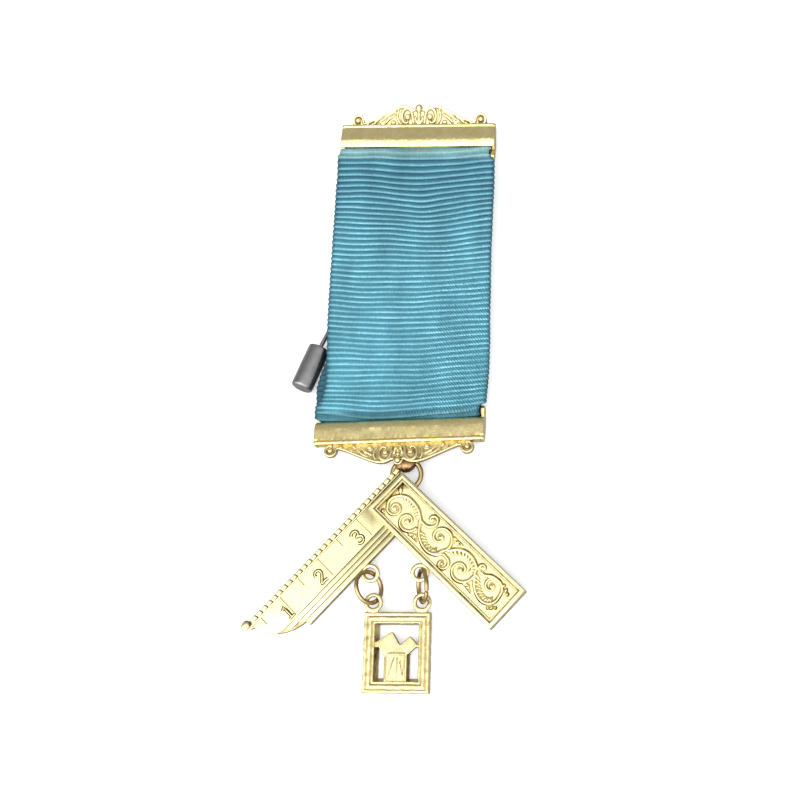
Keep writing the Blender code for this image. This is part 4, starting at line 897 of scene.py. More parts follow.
def makeRibbon():
    sizes = ribbonSizes
    stations, travel = ribbonStations()
    rings = []
    walkedAlong = []
    marks = {"turns": [], "across": [], "skin": [], "paintedEdgeShade": [], "paintedLight": []}
    push = []
    for share, ahead, height, angle, walked, turns in stations:
        ring = []
        out = Vector((0, math.cos(math.radians(angle)), math.sin(math.radians(angle))))
        front = angle != -90
        # painted light on the front's top near the upper bar; painted shadow near the lower bar
        paintedLight = clamp((share - sizes["paintedLightFrom"]) / sizes["paintedLightOver"]) if front else 0.0
        shadow = clamp((sizes["shadowTo"] - share) / sizes["shadowTo"]) if front else 0.0
        for skin in (1, -1):
            for step in range(sizes["columns"] + 1):
                column = (-1 + 2 * step / sizes["columns"]) * skin
                across = column * ribbonHalf(share, column, front, angle)
                # the edge mark is painted shade: along the ribbon's sides, under the front's lower left, on
                # the back layer's left and near the lower bar
                edge = max(0.0, (abs(column) - 0.94) / 0.06)
                reach = skin * sizes["wall"] / 2 * (1 - 0.35 * edge)
                under = clamp((-across - sizes["underFrom"]) / sizes["underOver"])
                under = under if front and share < 0.06 else 0.0
                behind = sizes["behindMark"] if not front and across < -sizes["behindFrom"] else 0.0
                edge = max(edge, 0.7 * under, 0.75 * shadow, behind)
                ring.append(ribbonSpot(share, ahead + out.y * reach, across, height + out.z * reach, front))
                walkedAlong.append(walked)
                push += [math.copysign(edge, column) * 0.3, out.y * skin, out.z * skin]
                values = (turns - ribBend(share, across) / ribPitch(share), across, skin,
                          edge * (1 - 0.75 * paintedLight), paintedLight)
                for row, value in zip(marks.values(), values):
                    row.append(value)
        rings.append(ring)
    mesh = ringedMesh(rings)
    for name, values in marks.items():
        storeMarks(mesh, name, values)
    storeMarks(mesh, "push", push, "FLOAT_VECTOR")
    weave = mesh.uv_layers.new(name="weave")
    corners = np.empty(len(mesh.loops), dtype=np.int64)
    mesh.loops.foreach_get("vertex_index", corners)
    flat = np.stack([np.array(marks["across"])[corners], np.array(walkedAlong)[corners]], axis=1)
    weave.data.foreach_set("uv", flat.ravel().astype(np.float32))
    mesh = runTree(linked(mesh, "ribbonBand"), ribTree(), {
        "Rib Height": sizes["ribHeight"], "Wander": sizes["wander"], "Wave": sizes["wave"],
        "Seed": sizes["seed"], "Cloth": silkLook})
    ribbon = finishedPiece("ribbonSilkBand", mesh, Matrix.Identity(4), silkLook, "ribbon",
                           180.0)


makeRibbon()
print("ribbon woven")


# The square: x along the rule, y along the box arm, z up from its back

ruleSizes = {
    "length": 46.0, "width": 10.1, "thickness": 2.0, "rope": 1.4, "ropePitch": 1.45, "faceStart": 9.4,
    "faceLow": 0.158, "faceHigh": 0.69, "tickLow": 0.165, "tickHigh": 0.672, "tickRadius": 0.17,
    "numeralHeight": 2.9, "numeralRadius": 0.42, "strandAt": (0.69, 1.0), "strandSize": (0.88, 0.9, 2.2),
    "strandTurn": 0.16,
}
ruleEnd = ((1.0, 0.0), (1.0, 0.14), (0.973, 0.19), (0.967, 0.27), (0.957, 0.4), (0.94, 0.53), (0.918, 0.64),
           (0.89, 0.73), (0.855, 0.815), (0.815, 0.87), (0.785, 0.89), (0.785, 1.0))
ruleTicks = ((0.3, 0.66), (0.43, 0.36), (0.552, 0.66), (0.678, 0.36), (0.795, 0.66), (0.919, 0.36))
numerals = (
    (0.356, 0.458, ((-0.3, 0.36), (-0.16, 0.5), (0.1, 0.5), (0.24, 0.34), (0.18, 0.14), (-0.04, 0.06),
                    (0.2, -0.04), (0.3, -0.24), (0.16, -0.47), (-0.1, -0.5), (-0.28, -0.34))),
    (0.599, 0.472, ((-0.26, 0.22), (-0.22, 0.42), (0.0, 0.52), (0.22, 0.4), (0.24, 0.18), (0.06, -0.08),
                    (-0.26, -0.44), (0.02, -0.42), (0.3, -0.48))),
    (0.817, 0.487, ((-0.2, 0.3), (-0.02, 0.42), (0.04, 0.5), (0.04, 0.1), (0.04, -0.46))),
)  # share along, share across, strokes in a box one unit high
ruleBands = ((0.702, 0.795, 0.872, 0.0), (0.808, 0.89, 0.81, 0.08), (0.903, 1.003, 0.787, 0.04))
# shares of the width that a band fills, share of the length it reaches, height over the face


def ropeTree():
    tree, entry, leave = newGroup("ropeBorder", "GeometryNodeTree", [
        ("Geometry", "Geometry", None), ("Count", "Int", 30), ("Start", "Vector", (0, 0, 0)),
        ("Pitch", "Float", 1.45), ("Strand Size", "Vector", (1, 1, 1)), ("Strand Turn", "Float", 0.5),
        ("Metal", "Material", None),
    ], [("Geometry", "Geometry")])
    step = addNode(tree, "ShaderNodeCombineXYZ", {0: entry["Pitch"]})[0]
    line = addNode(tree, "GeometryNodeMeshLine", {"Count": entry["Count"], "Start Location": entry["Start"],
                                                  "Offset": step})[0]
    cube = addNode(tree, "GeometryNodeMeshCube", {"Size": entry["Strand Size"]})[0]
    strand = addNode(tree, "GeometryNodeSubdivisionSurface", {"Mesh": cube, "Level": 3,
                                                              "Edge Crease": 0.5})[0]
    turn = addNode(tree, "ShaderNodeCombineXYZ", {2: entry["Strand Turn"]})[0]
    laid = addNode(tree, "GeometryNodeInstanceOnPoints", {"Points": line, "Instance": strand,
                                                          "Rotation": turn})[0]
    both = addNode(tree, "GeometryNodeJoinGeometry", {0: laid})[0]
    tree.links.new(entry["Geometry"], both.node.inputs[0])
    dressTree(tree, leave, both, entry["Metal"])
    return tree


def ruleMeshes():
    sizes = ruleSizes
    length, width, thick = sizes["length"], sizes["width"], sizes["thickness"]
    start, low, high = sizes["faceStart"], sizes["faceLow"] * width, width * sizes["faceHigh"]
    end = [(along * length, across * width) for along, across in ruleEnd]
    base = slabMesh([(0.2, 0.06)] + [(min(x, length), max(y, 0.06)) for x, y in end] + [(0.2, width)],
                    0.0, thick * 0.62, 0.12, 2)
    faceEnd = [(x - 0.12, min(y, high)) for x, y in end[2:7]] + [(end[7][0] - 0.3, high)]
    face = slabMesh([(start, low), (faceEnd[0][0], low)] + faceEnd + [(start, high)], thick * 0.4, thick,
                    0.07, 2)
    cuts = []
    raised = []
    for along, reach in ruleTicks:
        ends = (sizes["tickLow"], min(reach, sizes["tickHigh"]))
        line = [(along * length, share * width) for share in ends]
        cuts.append((atHeight(line, thick + 0.02), sizes["tickRadius"]))
        if reach > 0.5:
            beside = [(x + 0.45, y) for x, y in line]
            cuts.append((atHeight(beside, thick + 0.03), sizes["tickRadius"] * 0.6))
    for along, across, strokes in numerals:
        line = []
        for right, up in strokes:
            line.append((along * length - right * sizes["numeralHeight"],
                         across * width - up * sizes["numeralHeight"]))
        if len(strokes) > 5:
            line = [tuple(point) for point in smoothLine(line, 4)]
        cuts.append((atHeight(line, thick + 0.06), sizes["numeralRadius"]))
        raised.append((atHeight(line, thick - 0.06), sizes["numeralRadius"] * 0.5))
        if len(strokes) == 5:  # the foot of the one
            x, y = along * length, across * width + 0.48 * sizes["numeralHeight"]
            serif = [(x - 0.85, y), (x + 0.65, y)]
            cuts.append((atHeight(serif, thick + 0.07), sizes["numeralRadius"] * 0.9))
            raised.append((atHeight(serif, thick - 0.06), sizes["numeralRadius"] * 0.45))
    tip = movedMesh(ballMesh((0, 0, 0), (1.2, 0.9, 0.5), 28, 18), turned((length - 0.1, 0.3, 1.5), 14.0))
    meshes = [base, cutMesh(face, strandMesh(cuts, 8)), strandMesh(raised, 8), tip]
    meshes.append(slabMesh(rectangle((0.6, 1.19), (length - 0.9, 1.55)), 0.4, thick - 0.02, 0.07, 2))
    for near, far, reach, top in ruleBands:
        outline = [(start, near * width), (reach * length, near * width),
                   ((reach - 0.02) * length, far * width), (start, far * width)]
        meshes.append(slabMesh(outline, thick * 0.3, thick + top, 0.07, 2))
    return meshes


boxSizes = {"length": 38.0, "width": 10.65, "start": 2.15, "floor": 1.6, "frame": 1.5, "cornerShade": 2.0,
            "voxel": 0.095}
boxLow, boxHigh = (0.0, boxSizes["start"]), (boxSizes["width"], boxSizes["length"])
boxProfile = (
    (0.0, 0.0), (0.0, 3.0), (0.06, 3.18), (0.16, 3.32), (0.3, 3.4), (0.74, 3.4), (0.86, 3.34), (0.94, 3.2),
    (0.98, 2.9), (1.06, 2.86), (1.14, 2.9), (1.22, 2.98), (1.38, 2.98), (1.46, 2.9), (1.5, 2.6), (1.54, 1.4),
    (1.54, 0.0),
)  # inset from the arm's edge, height
boxTarnishAndShade = ((0.0, 0.0), (0.84, 0.0), (0.95, 0.9), (1.1, 0.9), (1.2, 0.1), (1.4, 0.0), (1.5, 0.9), (1.6, 1.0))
scrollStems = (
    ((0.72, 0.128), (0.6, 0.107), (0.47, 0.111), (0.35, 0.138), (0.28, 0.175), (0.28, 0.22), (0.31, 0.261),
     (0.38, 0.295), (0.43, 0.316)),
    ((0.41, 0.305), (0.53, 0.331), (0.65, 0.361), (0.73, 0.399), (0.77, 0.437), (0.76, 0.48), (0.68, 0.506),
     (0.57, 0.52), (0.48, 0.535)),
    ((0.43, 0.316), (0.44, 0.338), (0.43, 0.363), (0.38, 0.383), (0.29, 0.395), (0.2, 0.385)),
    ((0.5, 0.541), (0.39, 0.563), (0.29, 0.597), (0.25, 0.634), (0.26, 0.674), (0.32, 0.712), (0.42, 0.73)),
    ((0.39, 0.722), (0.51, 0.749), (0.62, 0.778), (0.7, 0.815), (0.73, 0.853), (0.71, 0.883), (0.63, 0.908),
     (0.53, 0.917), (0.4, 0.912)),
    ((0.75, 0.492), (0.7, 0.51), (0.61, 0.532), (0.6, 0.565)),
    ((0.38, 0.742), (0.35, 0.751), (0.33, 0.783), (0.26, 0.808), (0.23, 0.837), (0.23, 0.871)),
)  # share of the arm's width, share of its length
scrollVolutes = (
    ((0.61, 0.16), (0.72, 0.128), 1.6, 1.35), ((0.62, 0.263), (0.6, 0.327), -1.7, 1.5),
    ((0.41, 0.459), (0.48, 0.535), 1.75, 1.8), ((0.58, 0.664), (0.49, 0.739), -1.9, 1.9),
    ((0.4, 0.846), (0.4, 0.912), 1.7, 1.9), ((0.26, 0.363), (0.2, 0.385), 0.9, 1.3),
    ((0.75, 0.566), (0.6, 0.565), -1.2, 1.4), ((0.26, 0.745), (0.34, 0.752), -1.1, 1.3),
)  # centre, start, turns, how fast it winds in
scrollCombs = (
    (0, 0.42, 0.98, 9, (0.5, 0.21), 1.0), (1, 0.22, 0.72, 8, (0.47, 0.42), 0.9),
    (3, 0.06, 0.95, 10, (0.58, 0.664), 1.0), (4, 0.06, 0.72, 10, (0.4, 0.846), 0.95),
)  # stem, first and last share of it, leaves, point they lean to, length
scrollBuds = (
    (0.265, 0.108, 1.0, 0.42, 45), (0.19, 0.098, 0.3, 0.24, 0), (0.82, 0.12, 0.5, 0.36, 30),
    (0.87, 0.14, 0.3, 0.26, 0), (0.26, 0.918, 0.5, 0.32, 20), (0.22, 0.893, 0.36, 0.3, 0),
    (0.3, 0.938, 0.42, 0.3, 0), (0.69, 0.925, 0.5, 0.3, 0), (0.74, 0.91, 0.36, 0.28, 0),
    (0.64, 0.94, 0.36, 0.26, 0),
)  # shares across and along, half length, half width, turn
scrollDarts = (((0.8, 0.31), (0.7, 0.35), (0.79, 0.387)), ((0.2, 0.512), (0.31, 0.546), (0.21, 0.589)),
               ((0.74, 0.715), (0.68, 0.753), (0.78, 0.795)))


def cornerWedge(x, y, z):  # the shade in the box's top corner
    shade = boxSizes["cornerShade"] - (x - boxSizes["frame"]) - (y - boxSizes["start"] - boxSizes["frame"])
    return np.clip(shade / 0.5, 0.0, 1.0)


def scrollMesh():
    sizes = boxSizes
    level = sizes["floor"] + 0.14

    def spot(across, along):
        return Vector((across * sizes["width"], along * sizes["length"]))

    strands = []
    meshes = []
    stems = []
    for row in scrollStems:
        line = smoothLine([spot(*point) for point in row], 5)
        stems.append(line)
        strands.append((atHeight(line, level), tapered(len(line), 0.33, 0.37, 0.31)))
    for centre, start, turns, haste in scrollVolutes:
        line = voluteLine(spot(*centre), spot(*start), turns * 0.85, 0.42, haste)
        strands.append((atHeight(line, level), tapered(len(line), 0.33, 0.27, 0.22)))
        meshes.append(ballMesh((*spot(*centre), level), (0.42, 0.42, 0.42), 14, 10))
    for stem, first, last, count, focus, length in scrollCombs:
        line = stems[stem]
        for index in range(count):
            share = (first + (last - first) * index / (count - 1)) * (len(line) - 1)
            low = min(int(share), len(line) - 2)
            foot = line[low].lerp(line[low + 1], share - low)
            heading = (line[low + 1] - line[low]).normalized()
            inward = (spot(*focus) - foot).normalized()
            middle = foot + inward * length * 0.75 + heading * 0.12
            tip = foot + inward * (length + 0.35) + heading * 0.42
            leaf = smoothLine([foot, middle, tip], 4)
            strands.append((atHeight(leaf, level - 0.02), tapered(len(leaf), 0.24, 0.25, 0.1)))
    for across, along, wide, tall, turn in scrollBuds:
        bud = ballMesh((0, 0, 0), (wide, tall, 0.42), 16, 10)
        meshes.append(movedMesh(bud, turned((*spot(across, along), level), turn)))
    for corners in scrollDarts:
        rim = [spot(*corner) for corner in corners]
        middle = sum(rim, Vector((0, 0))) / 3
        loop = [middle + (corner - middle) * 0.8 for corner in rim + rim[:2]]
        strands.append((atHeight(loop, level), 0.2))
        meshes.append(ballMesh((*middle, level), (0.3, 0.34, 0.3), 12, 8))
    meshes.append(strandMesh(strands))
    meshes.append(slabMesh(inside(boxLow, boxHigh, 1.2), sizes["floor"] - 0.5, sizes["floor"], 0.05, 1))
    mesh = castMesh(meshes, sizes["voxel"], 2)
    markHollows(mesh, 4, 20.0, cornerWedge)
    return mesh


def boxFrame():
    rings = [atHeight(inside(boxLow, boxHigh, inset), height) for inset, height in boxProfile]
    back = slabMesh(inside(boxLow, boxHigh, 0.3), 0.02, boxSizes["floor"] - 0.1, 0.05, 1)
    return [ringedMesh(rings), back]


eyeSizes = {"radius": 2.0, "hole": 1.1, "thickness": 0.8, "squareness": 0.75, "level": 2.35, "standOff": 1.8,
            "neck": 2.9, "ruleShare": 0.43, "boxShare": 0.511}
squareEyes = (
    (eyeSizes["ruleShare"] * ruleSizes["length"], ruleSizes["width"] + eyeSizes["standOff"]),
    (boxSizes["width"] + eyeSizes["standOff"], eyeSizes["boxShare"] * boxSizes["length"]),
)  # left, under the rule, and right, beside the box


def eyeMeshes(centre, level, foot):
    sizes = eyeSizes
    half = sizes["thickness"] / 2
    middle = (sizes["radius"] + sizes["hole"]) / 2
    reach = (sizes["radius"] - sizes["hole"]) / 2
    profile = []
    for step in range(16):
        angle = math.radians(step * 22.5)
        x, z = [math.copysign(abs(way) ** sizes["squareness"], way)
                for way in (math.cos(angle), math.sin(angle))]
        profile.append((middle + reach * x, half * z))
    ring = movedMesh(turnedMesh(profile, 48), Matrix.Translation((*centre, level)))
    along = (Vector(foot) - Vector(centre)).normalized()
    side = Vector((-along.y, along.x)) * sizes["radius"] * 0.58
    start = Vector(centre) + along * middle
    corners = [start + side, Vector(foot) + side, Vector(foot) - side, start - side]
    neck = slabMesh([tuple(corner) for corner in corners], level - half * 0.85, level + half * 0.6, 0.15, 2)
    return [ring, neck]


stapleSizes = {"middle": (2.72, 1.99), "wire": 0.42, "half": 1.2, "depth": 1.05}


def stapleMesh():  # the loop behind the square that the suspension ring passes through
    x, y = Vector(stapleSizes["middle"])
    half, depth = stapleSizes["half"], stapleSizes["depth"]
    line = [(x - half, y, 0.6), (x - half + 0.05, y, -0.5), (x - half + 0.4, y, -depth),
            (x + half - 0.4, y, -depth), (x + half - 0.05, y, -0.5), (x + half, y, 0.6)]
    return strandMesh([([tuple(point) for point in smoothLine(line, 4)], stapleSizes["wire"])], 14)


def tarnishAndShadeSquare(mesh):  # tarnish and painted shade in the rule's grooves and along the box frame's steps, painted shade in the box's top corner
    x, y, z = readVectors(mesh).T
    wide, start, long = boxSizes["width"], boxSizes["start"], boxSizes["length"]
    shadeAndTarnish = np.clip((ruleSizes["thickness"] - 0.05 - z) / 0.22, 0.0, 1.0)
    inBox = (x > -0.01) & (x < wide + 0.01) & (y > start - 0.01) & (y < long + 0.01) & (z > 1.35)
    inset = np.minimum(np.minimum(x, wide - x), np.minimum(y - start, long - y))
    onFrame = np.interp(inset, *zip(*boxTarnishAndShade))
    onFrame = np.where((inset > 1.45) & (z < 2.7), np.maximum(onFrame, cornerWedge(x, y, z)), onFrame)
    shadeAndTarnish = np.where(inBox, onFrame, shadeAndTarnish)
    beyond = (y > ruleSizes["width"] + 0.15) & (x > wide + 0.01)
    storeMarks(mesh, "hollowShadeAndTarnish", np.where(beyond | (x > ruleSizes["length"] - 0.6), 0.0, shadeAndTarnish))


def makeSquare():
    sizes = ruleSizes
    eyes = []
    for centre, toward in zip(squareEyes, ((0.0, -eyeSizes["neck"]), (-eyeSizes["neck"], 0.0))):
        height = (squarePlace @ Vector((*centre, 0.0))).z
        level = (eyeSizes["level"] - height) / math.cos(math.radians(places["squareTilt"]))
        eyes += eyeMeshes(centre, level, (centre[0] + toward[0], centre[1] + toward[1]))
    rule = linked(joined(ruleMeshes() + boxFrame() + eyes + [stapleMesh()]), "squareSolid")
    run = sizes["length"] - 1.3 * sizes["rope"]
    count = round(run / sizes["ropePitch"])
    pitch = run / count
    mesh = runTree(rule, ropeTree(), {
        "Count": count, "Start": (0.55 * sizes["rope"], *sizes["strandAt"]), "Pitch": pitch,
        "Strand Size": (pitch * sizes["strandSize"][0], *sizes["strandSize"][1:]),
        "Strand Turn": sizes["strandTurn"], "Metal": metals["giltCasting"]})
    tarnishAndShadeSquare(mesh)
    finishedPiece("squareCasting", mesh, squarePlace, metals["giltCasting"], "square", 42.0)
    finishedPiece("squareScrolls", scrollMesh(), squarePlace, metals["giltCasting"], "square", 180.0)


makeSquare()
print("square cast")


# The proposition plate: x right, y up, z up from its back, its middle at zero

plateSizes = {
    "wobble": 0.07, "width": 13.8, "height": 16.1, "thickness": 2.0, "eyeSpread": 10.2, "eyeReach": 1.9,
    "draw": 0.32, "tieInner": 3.3, "tieOuter": 5.2, "figureDraw": 0.42, "lineLevel": 1.82, "lineInset": 0.42,
    "voxel": 0.1, "figureVoxel": 0.09, "shadeAndTarnishLevel": 1.72, "seed": 5,
}
plateProfile = (
    (0.0, 0.0), (0.0, 1.6), (0.08, 1.84), (0.22, 1.95), (0.62, 1.97), (0.7, 1.84), (0.78, 1.7),
    (0.88, 1.84), (0.98, 2.02), (1.2, 2.08), (1.5, 2.08), (1.64, 2.0), (1.74, 1.74), (1.84, 1.72),
    (1.94, 1.86), (2.1, 1.92), (2.26, 1.88), (2.38, 1.66), (2.46, 1.3), (2.74, 0.25), (2.74, 0.0),
)  # inset from the plate's edge, height
figureSquares = (
    (-0.008, -0.19, 0.34, 0.36, 0.0, 0.3, 1.75), (-0.13, 0.11, 0.285, 0.185, 31.0, 0.4, 1.95),
    (0.188, 0.087, 0.2, 0.15, 41.0, 0.45, 1.85),
)  # middle across and up, width, height, turn, underside, top
figureLines = (((0.02, -0.06), (0.02, -0.35)), ((-0.03, -0.06), (-0.13, -0.34)), ((0.06, -0.1), (0.1, -0.28)),
               ((0.1, -0.28), (0.12, -0.1)), ((-0.16, -0.06), (-0.165, -0.33)))
plateWeb = ((-2.5, -0.4), (2.6, -0.4), (2.6, 0.3), (0.55, 1.75), (-2.2, 0.3))


def figureMesh():  # the three squares with their ties and lines
    sizes = plateSizes
    meshes = []
    cuts = []
    for start, end in figureLines:
        line = [(across * sizes["width"], up * sizes["height"]) for across, up in (start, end)]
        cuts.append((atHeight(line, sizes["lineLevel"]), [0.22, 0.16]))
    for across, up, wide, tall, turn, low, high in figureSquares:
        half = (wide * sizes["width"] / 2, tall * sizes["width"] * 1.17 / 2)
        middle = (across * sizes["width"], up * sizes["height"])
        block = slabMesh(rectangle((-half[0], -half[1]), half), low, high, 0.14, 3)
        meshes.append(movedMesh(block, turned((*middle, 0), turn)))
        rim = inside((-half[0], -half[1]), half, sizes["lineInset"])
        corners = [Vector((*corner, 0.0)) for corner in rim]
        spin = turned((*middle, high + 0.04), turn)
        cuts.append(([tuple(spin @ corner) for corner in corners + corners[:1]], 0.13))
    for side in (-1, 1):
        near, far = sorted((side * sizes["tieInner"], side * sizes["tieOuter"]))
        meshes.append(slabMesh(rectangle((near, 0.95), (far, 2.15)), 0.42, 1.62, 0.14, 2))
    meshes.append(slabMesh(plateWeb, 0.5, 1.67, 0.14, 2))
    figure = castMesh(meshes, sizes["figureVoxel"], 2)
    for vertex in figure.vertices:  # the sides slope out to the right, as cast work does
        if vertex.co.y < -0.3 and vertex.co.x > 1.5:
            vertex.co.x += sizes["figureDraw"] * clamp(1.6 - vertex.co.z)
    figure = cutMesh(figure, strandMesh(cuts, 8))
    shadeAndTarnish = (sizes["shadeAndTarnishLevel"] - readVectors(figure)[:, 2]) / 0.16  # painted shade and tarnish below a level
    storeMarks(figure, "hollowShadeAndTarnish", np.clip(shadeAndTarnish, 0.0, 1.0))
    return figure


def makePlate():
    sizes = plateSizes
    halfWidth, halfHeight = sizes["width"] / 2, sizes["height"] / 2
    rings = []
    for inset, height in plateProfile:  # the opening leans to the right and up
        draw = sizes["draw"] * max(0.0, 1.66 - height) / 1.66 if inset > 2.4 else 0.0
        edge = inside((-halfWidth, -halfHeight), (halfWidth, halfHeight), inset)
        rings.append([(x + draw, y + draw * 0.7, height) for x, y in edge])
    meshes = [ringedMesh(rings)]
    figure = figureMesh()
    for centre in plateEyes:
        height = (platePlace @ Vector((*centre, 0.0))).z
        level = min(eyeSizes["level"] - height, sizes["thickness"] - eyeSizes["thickness"] * 0.45)
        meshes += eyeMeshes(centre, level, (centre[0], centre[1] - sizes["eyeReach"] - 0.8))
    rim = castMesh(meshes, sizes["voxel"], 1)
    noise.seed_set(sizes["seed"])  # the noise vector is the one noise here that needs a seed
    for vertex in rim.vertices:
        vertex.co += noise.noise_vector(vertex.co * 0.8) * sizes["wobble"]
    markHollows(rim, 3, 16.0)
    finishedPiece("plateFrame", rim, platePlace, metals["giltPlate"], "proposition_plate", 180.0)
    finishedPiece("plateFigure", figure, platePlace, metals["giltPlate"], "proposition_plate", 50.0)


plateRow = plateSizes["height"] / 2 + plateSizes["eyeReach"]
plateEyes = [(side * plateSizes["eyeSpread"] / 2, plateRow) for side in (-1, 1)]
makePlate()


# The jump rings between the square's eyes and the plate's

jumpSizes = {"radius": 3.25, "wire": 0.45, "joint": 2.5, "clearance": 0.03,
             "left": {"flop": 50.0, "jointTurn": 120.0}, "right": {"flop": 66.0, "jointTurn": 60.0}}


def makeJumpRings():
    sizes = jumpSizes
    for side, squareEye, plateEye in zip(("left", "right"), squareEyes, plateEyes):
        top = squarePlace @ Vector((*squareEye, 0.0))
        bottom = platePlace @ Vector((*plateEye, 0.0))
        middle = (top + bottom) / 2
        down = (bottom - top).to_2d().normalized()
        sideways = Vector((-down.y, down.x))
        if (sideways.x < 0) != (side == "left"):
            sideways = -sideways
        flop = math.radians(sizes[side]["flop"])  # how steeply the ring leans over
        high = sizes["radius"] * math.sin(flop) + sizes["wire"] + sizes["clearance"]
        past = (high - eyeSizes["level"]) / math.tan(flop)
        axisDown = Vector((down.x, down.y, 0.0))
        axisUp = Vector((sideways.x * math.cos(flop), sideways.y * math.cos(flop), math.sin(flop)))
        turn = Matrix((axisDown, axisUp, axisDown.cross(axisUp))).transposed().to_4x4()
        place = Matrix.Translation((middle.x + sideways.x * past, middle.y + sideways.y * past, high)) @ turn
        ring = ringMesh(sizes["radius"], sizes["wire"], sizes["joint"], sizes[side]["jointTurn"])
        finishedPiece("jumpRing" + side.capitalize(), ring, place, metals["ringWire"], "jump_ring_" + side)


makeJumpRings()
print("drop hung")


# The stick pin and its clutch

pinSizes = {"head": (1.83, 75.96), "point": (-23.19, 13.03), "radius": 0.47, "gap": 0.03, "padRadius": 1.6,
            "padThickness": 0.7, "padTop": 2.85}
clutchSizes = {"radius": 2.48, "length": 10.4, "bore": 1.0, "wall": 1.3, "mouth": (-20.2, 20.4), "turn": 18.6,
               "endRound": 0.28}


def makePin():
    sizes = pinSizes
    radius, half, top = sizes["padRadius"], sizes["padThickness"] / 2, sizes["padTop"]
    start = Vector((*sizes["head"], sizes["radius"] + sizes["gap"]))
    end = Vector((*sizes["point"], clutchSizes["radius"] + sizes["gap"]))
    heading = (end - start).normalized()
    line = [start + Vector((0, 0, top - start.z - 0.3)), start + Vector((0, 0, 1.5))]
    line += smoothLine([start + Vector((0, 0, 1.2)), start + Vector((0, 0, 0.35)) + heading * 0.35,
                        start + heading * 1.2], 5)
    line += [start.lerp(end, share) for share in (0.1, 0.3, 0.5, 0.7)]
    line += [end - heading * 4, end - heading * 2, end - heading * 0.6, end]
    radii = [sizes["radius"]] * (len(line) - 3) + [0.36, 0.2, 0.08]
    pad = turnedMesh([(0, -half), (radius - 0.15, -half), (radius, -0.22), (radius, 0.22),
                      (radius - 0.15, half), (0, half)], 36)
    pad = movedMesh(pad, Matrix.Translation((start.x, start.y, top - half)))
    fillet = ballMesh((start.x, start.y, top - sizes["padThickness"]), (0.85, 0.85, 0.45))
    whole = joined([strandMesh([(line, radii)], 16), pad, fillet])
    finishedPiece("stickPinWire", whole, Matrix.Identity(4), metals["pinSteel"], "stick_pin")
    return heading


def makeClutch(heading):
    sizes = clutchSizes
    radius, length, bore = sizes["radius"], sizes["length"], sizes["bore"]
    wall, soft = sizes["wall"], sizes["endRound"]
    profile = [(0, -0.12), (radius * 0.45, -0.1), (radius * 0.62, 0.0)]
    for degrees in range(10, 91, 10):
        angle = math.radians(degrees)
        profile.append((radius * 0.72 + math.sin(angle) * radius * 0.28,
                        math.cos(angle) * radius * 0.28 - radius * 0.28))
    profile += [(radius * 0.998, -length * 0.5), (radius, 0.5 - length)]
    for degrees in range(15, 91, 15):
        angle = math.radians(degrees)
        profile.append((radius - soft + soft * math.cos(angle), soft - length - soft * math.sin(angle)))
    profile += [(bore + 0.3, -length), (bore, 0.3 - length), (bore, -wall), (0, -wall)]
    turn = math.radians(sizes["turn"])
    axis = Vector((-math.sin(turn), -math.cos(turn), heading.z)).normalized()
    mouth = Vector((*sizes["mouth"], radius + pinSizes["gap"]))
    place = Matrix.Translation(mouth + axis * length) @ axis.to_track_quat("Z", "X").to_matrix().to_4x4()
    finishedPiece("pinClutchGuard", turnedMesh(profile, 72), place, metals["pinSteel"], "pin_clutch",
                  50.0, "clutch")


makeClutch(makePin())
print("pin made")


# The studio: white sweep, soft light from above, darker room round the horizon

studio = {
    "floorWhite": 0.93, "floorDim": 0.58, "floorGlow": 0.4, "floorHalf": 3.0, "east": 0.6, "west": 0.3,
    "shine": 0.35, "backdrop": 0.47, "skyStrength": 2.0, "lampPower": 0.5, "lampSize": 0.5,
    "lampPlace": (-0.22, -0.25, 0.5),
}
skyBands = ((0.0, 0.40), (0.27, 0.46), (0.33, 0.52), (0.385, 0.465), (0.425, 0.98), (0.465, 1.58),
            (0.86, 1.7), (1.0, 1.1))  # half turns from the north horizon over the top, and how bright
viewPoint = {
    "place": (43.18, -67.14, 206.12), "lens": 45.0, "shift": -0.05,
    "right": (0.9873, 0.0482, -0.1515), "down": (-0.0069, -0.9390, -0.3439),
    "ahead": (-0.1588, 0.3406, -0.9267),
}


def makeFloor():
    shape = bmesh.new()
    bmesh.ops.create_grid(shape, x_segments=1, y_segments=1, size=studio["floorHalf"])
    floor = linked(builtMesh(shape, "studioFloor"), "studioFloor")
    material, tree, shader = newMaterial("studioPaper")
    # in glossy reflections the floor is dimmer: painted shade in what the metal reflects of it
    white, dim = studio["floorWhite"], studio["floorDim"]
    grain = noiseTexture(tree, addNode(tree, "ShaderNodeTexCoord")["Object"], 900.0, 3.0)
    tone = mixed(tree, grain, (white, white, white), (white * 0.985, white * 0.985, white * 0.99))
    path = addNode(tree, "ShaderNodeLightPath")
    setInputs(tree, shader, {
        "Base Color": mixed(tree, path["Is Glossy Ray"], tone, (dim, dim, dim)), "Roughness": 0.9,
        "Specular IOR Level": 0.1, "Emission Color": (1, 1, 1, 1),
        "Emission Strength": times(tree, path["Is Camera Ray"], studio["floorGlow"]),
    })
    floor.data.materials.append(material)


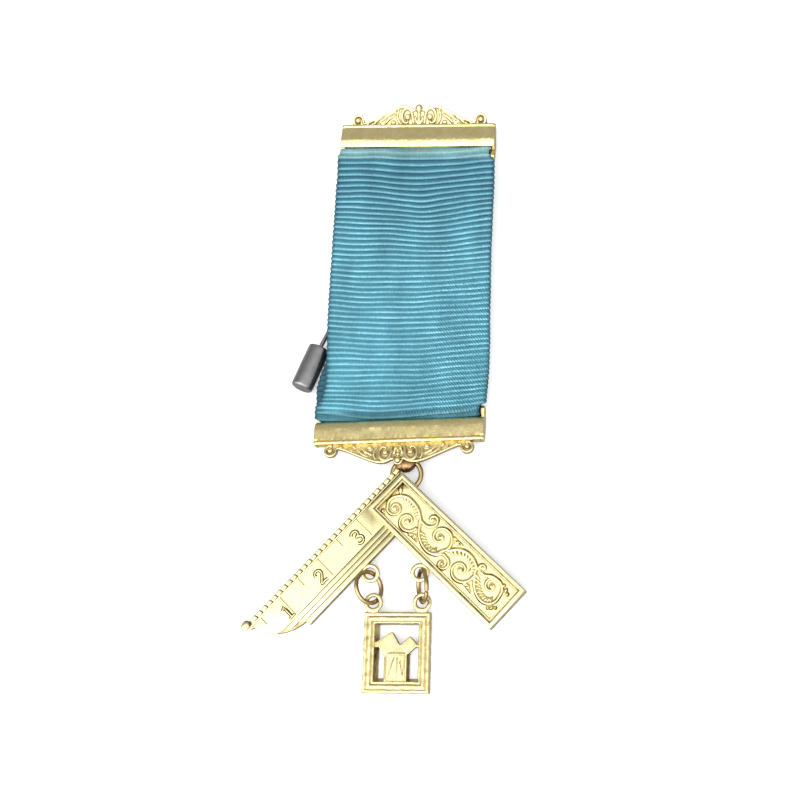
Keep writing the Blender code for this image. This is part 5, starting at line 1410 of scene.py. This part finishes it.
def makeSky():
    world = bpy.data.worlds.new("studioRoom")
    bpy.context.scene.world = world
    world.use_nodes = True
    tree = world.node_tree
    strength = studio["skyStrength"]
    east, north, up = addNode(tree, "ShaderNodeSeparateXYZ",
                              {0: addNode(tree, "ShaderNodeTexCoord")["Generated"]})
    over = maths(tree, "DIVIDE", maths(tree, "ARCTAN2", up, north), math.pi)
    colour = rampColour(tree, over, [(position, (level / strength,) * 3) for position, level in skyBands])
    sides = []
    for way, share in ((east, studio["east"]), (times(tree, east, -1.0), studio["west"])):
        reach = maths(tree, "POWER", maths(tree, "MAXIMUM", way, 0.0), 2.0)
        sides.append(times(tree, reach, share))
    colour = scaled(tree, colour, maths(tree, "SUBTRACT", 1.0, added(tree, *sides)))
    path = addNode(tree, "ShaderNodeLightPath")
    shine = times(tree, spread(tree, over, 0.5, 0.58, 0.0, studio["shine"]), path["Is Glossy Ray"])
    colour = scaled(tree, colour, added(tree, shine, 1.0))
    colour = mixed(tree, path["Is Camera Ray"], colour, (studio["backdrop"],) * 3)
    setInputs(tree, tree.nodes["Background"], {"Color": colour, "Strength": strength})


def makeLamp():
    lamp = bpy.data.lights.new("softLamp", "AREA")
    lamp.shape = "DISK"
    lamp.size = studio["lampSize"]
    lamp.energy = studio["lampPower"]
    stand = linked(lamp, "softLamp")
    place = Vector(studio["lampPlace"])
    stand.location = jewelShift + place
    stand.rotation_euler = (-place).to_track_quat("-Z", "Y").to_euler()


def makeCamera():
    data = bpy.data.cameras.new("photoCamera")
    data.lens = viewPoint["lens"]
    data.sensor_width = 36.0
    data.shift_x = viewPoint["shift"]
    data.clip_start = 0.01
    camera = linked(data, "photoCamera")
    right, down, ahead = [Vector(viewPoint[key]) for key in ("right", "down", "ahead")]
    turn = Matrix((right, -down, -ahead)).transposed().to_4x4()
    camera.matrix_world = Matrix.Translation(jewelShift + Vector(viewPoint["place"]) * mm) @ turn
    bpy.context.scene.camera = camera


makeFloor()
makeSky()
makeLamp()
makeCamera()
bpy.context.scene.view_settings.view_transform = "Standard"
bpy.context.scene.view_settings.look = "None"
print("studio lit")
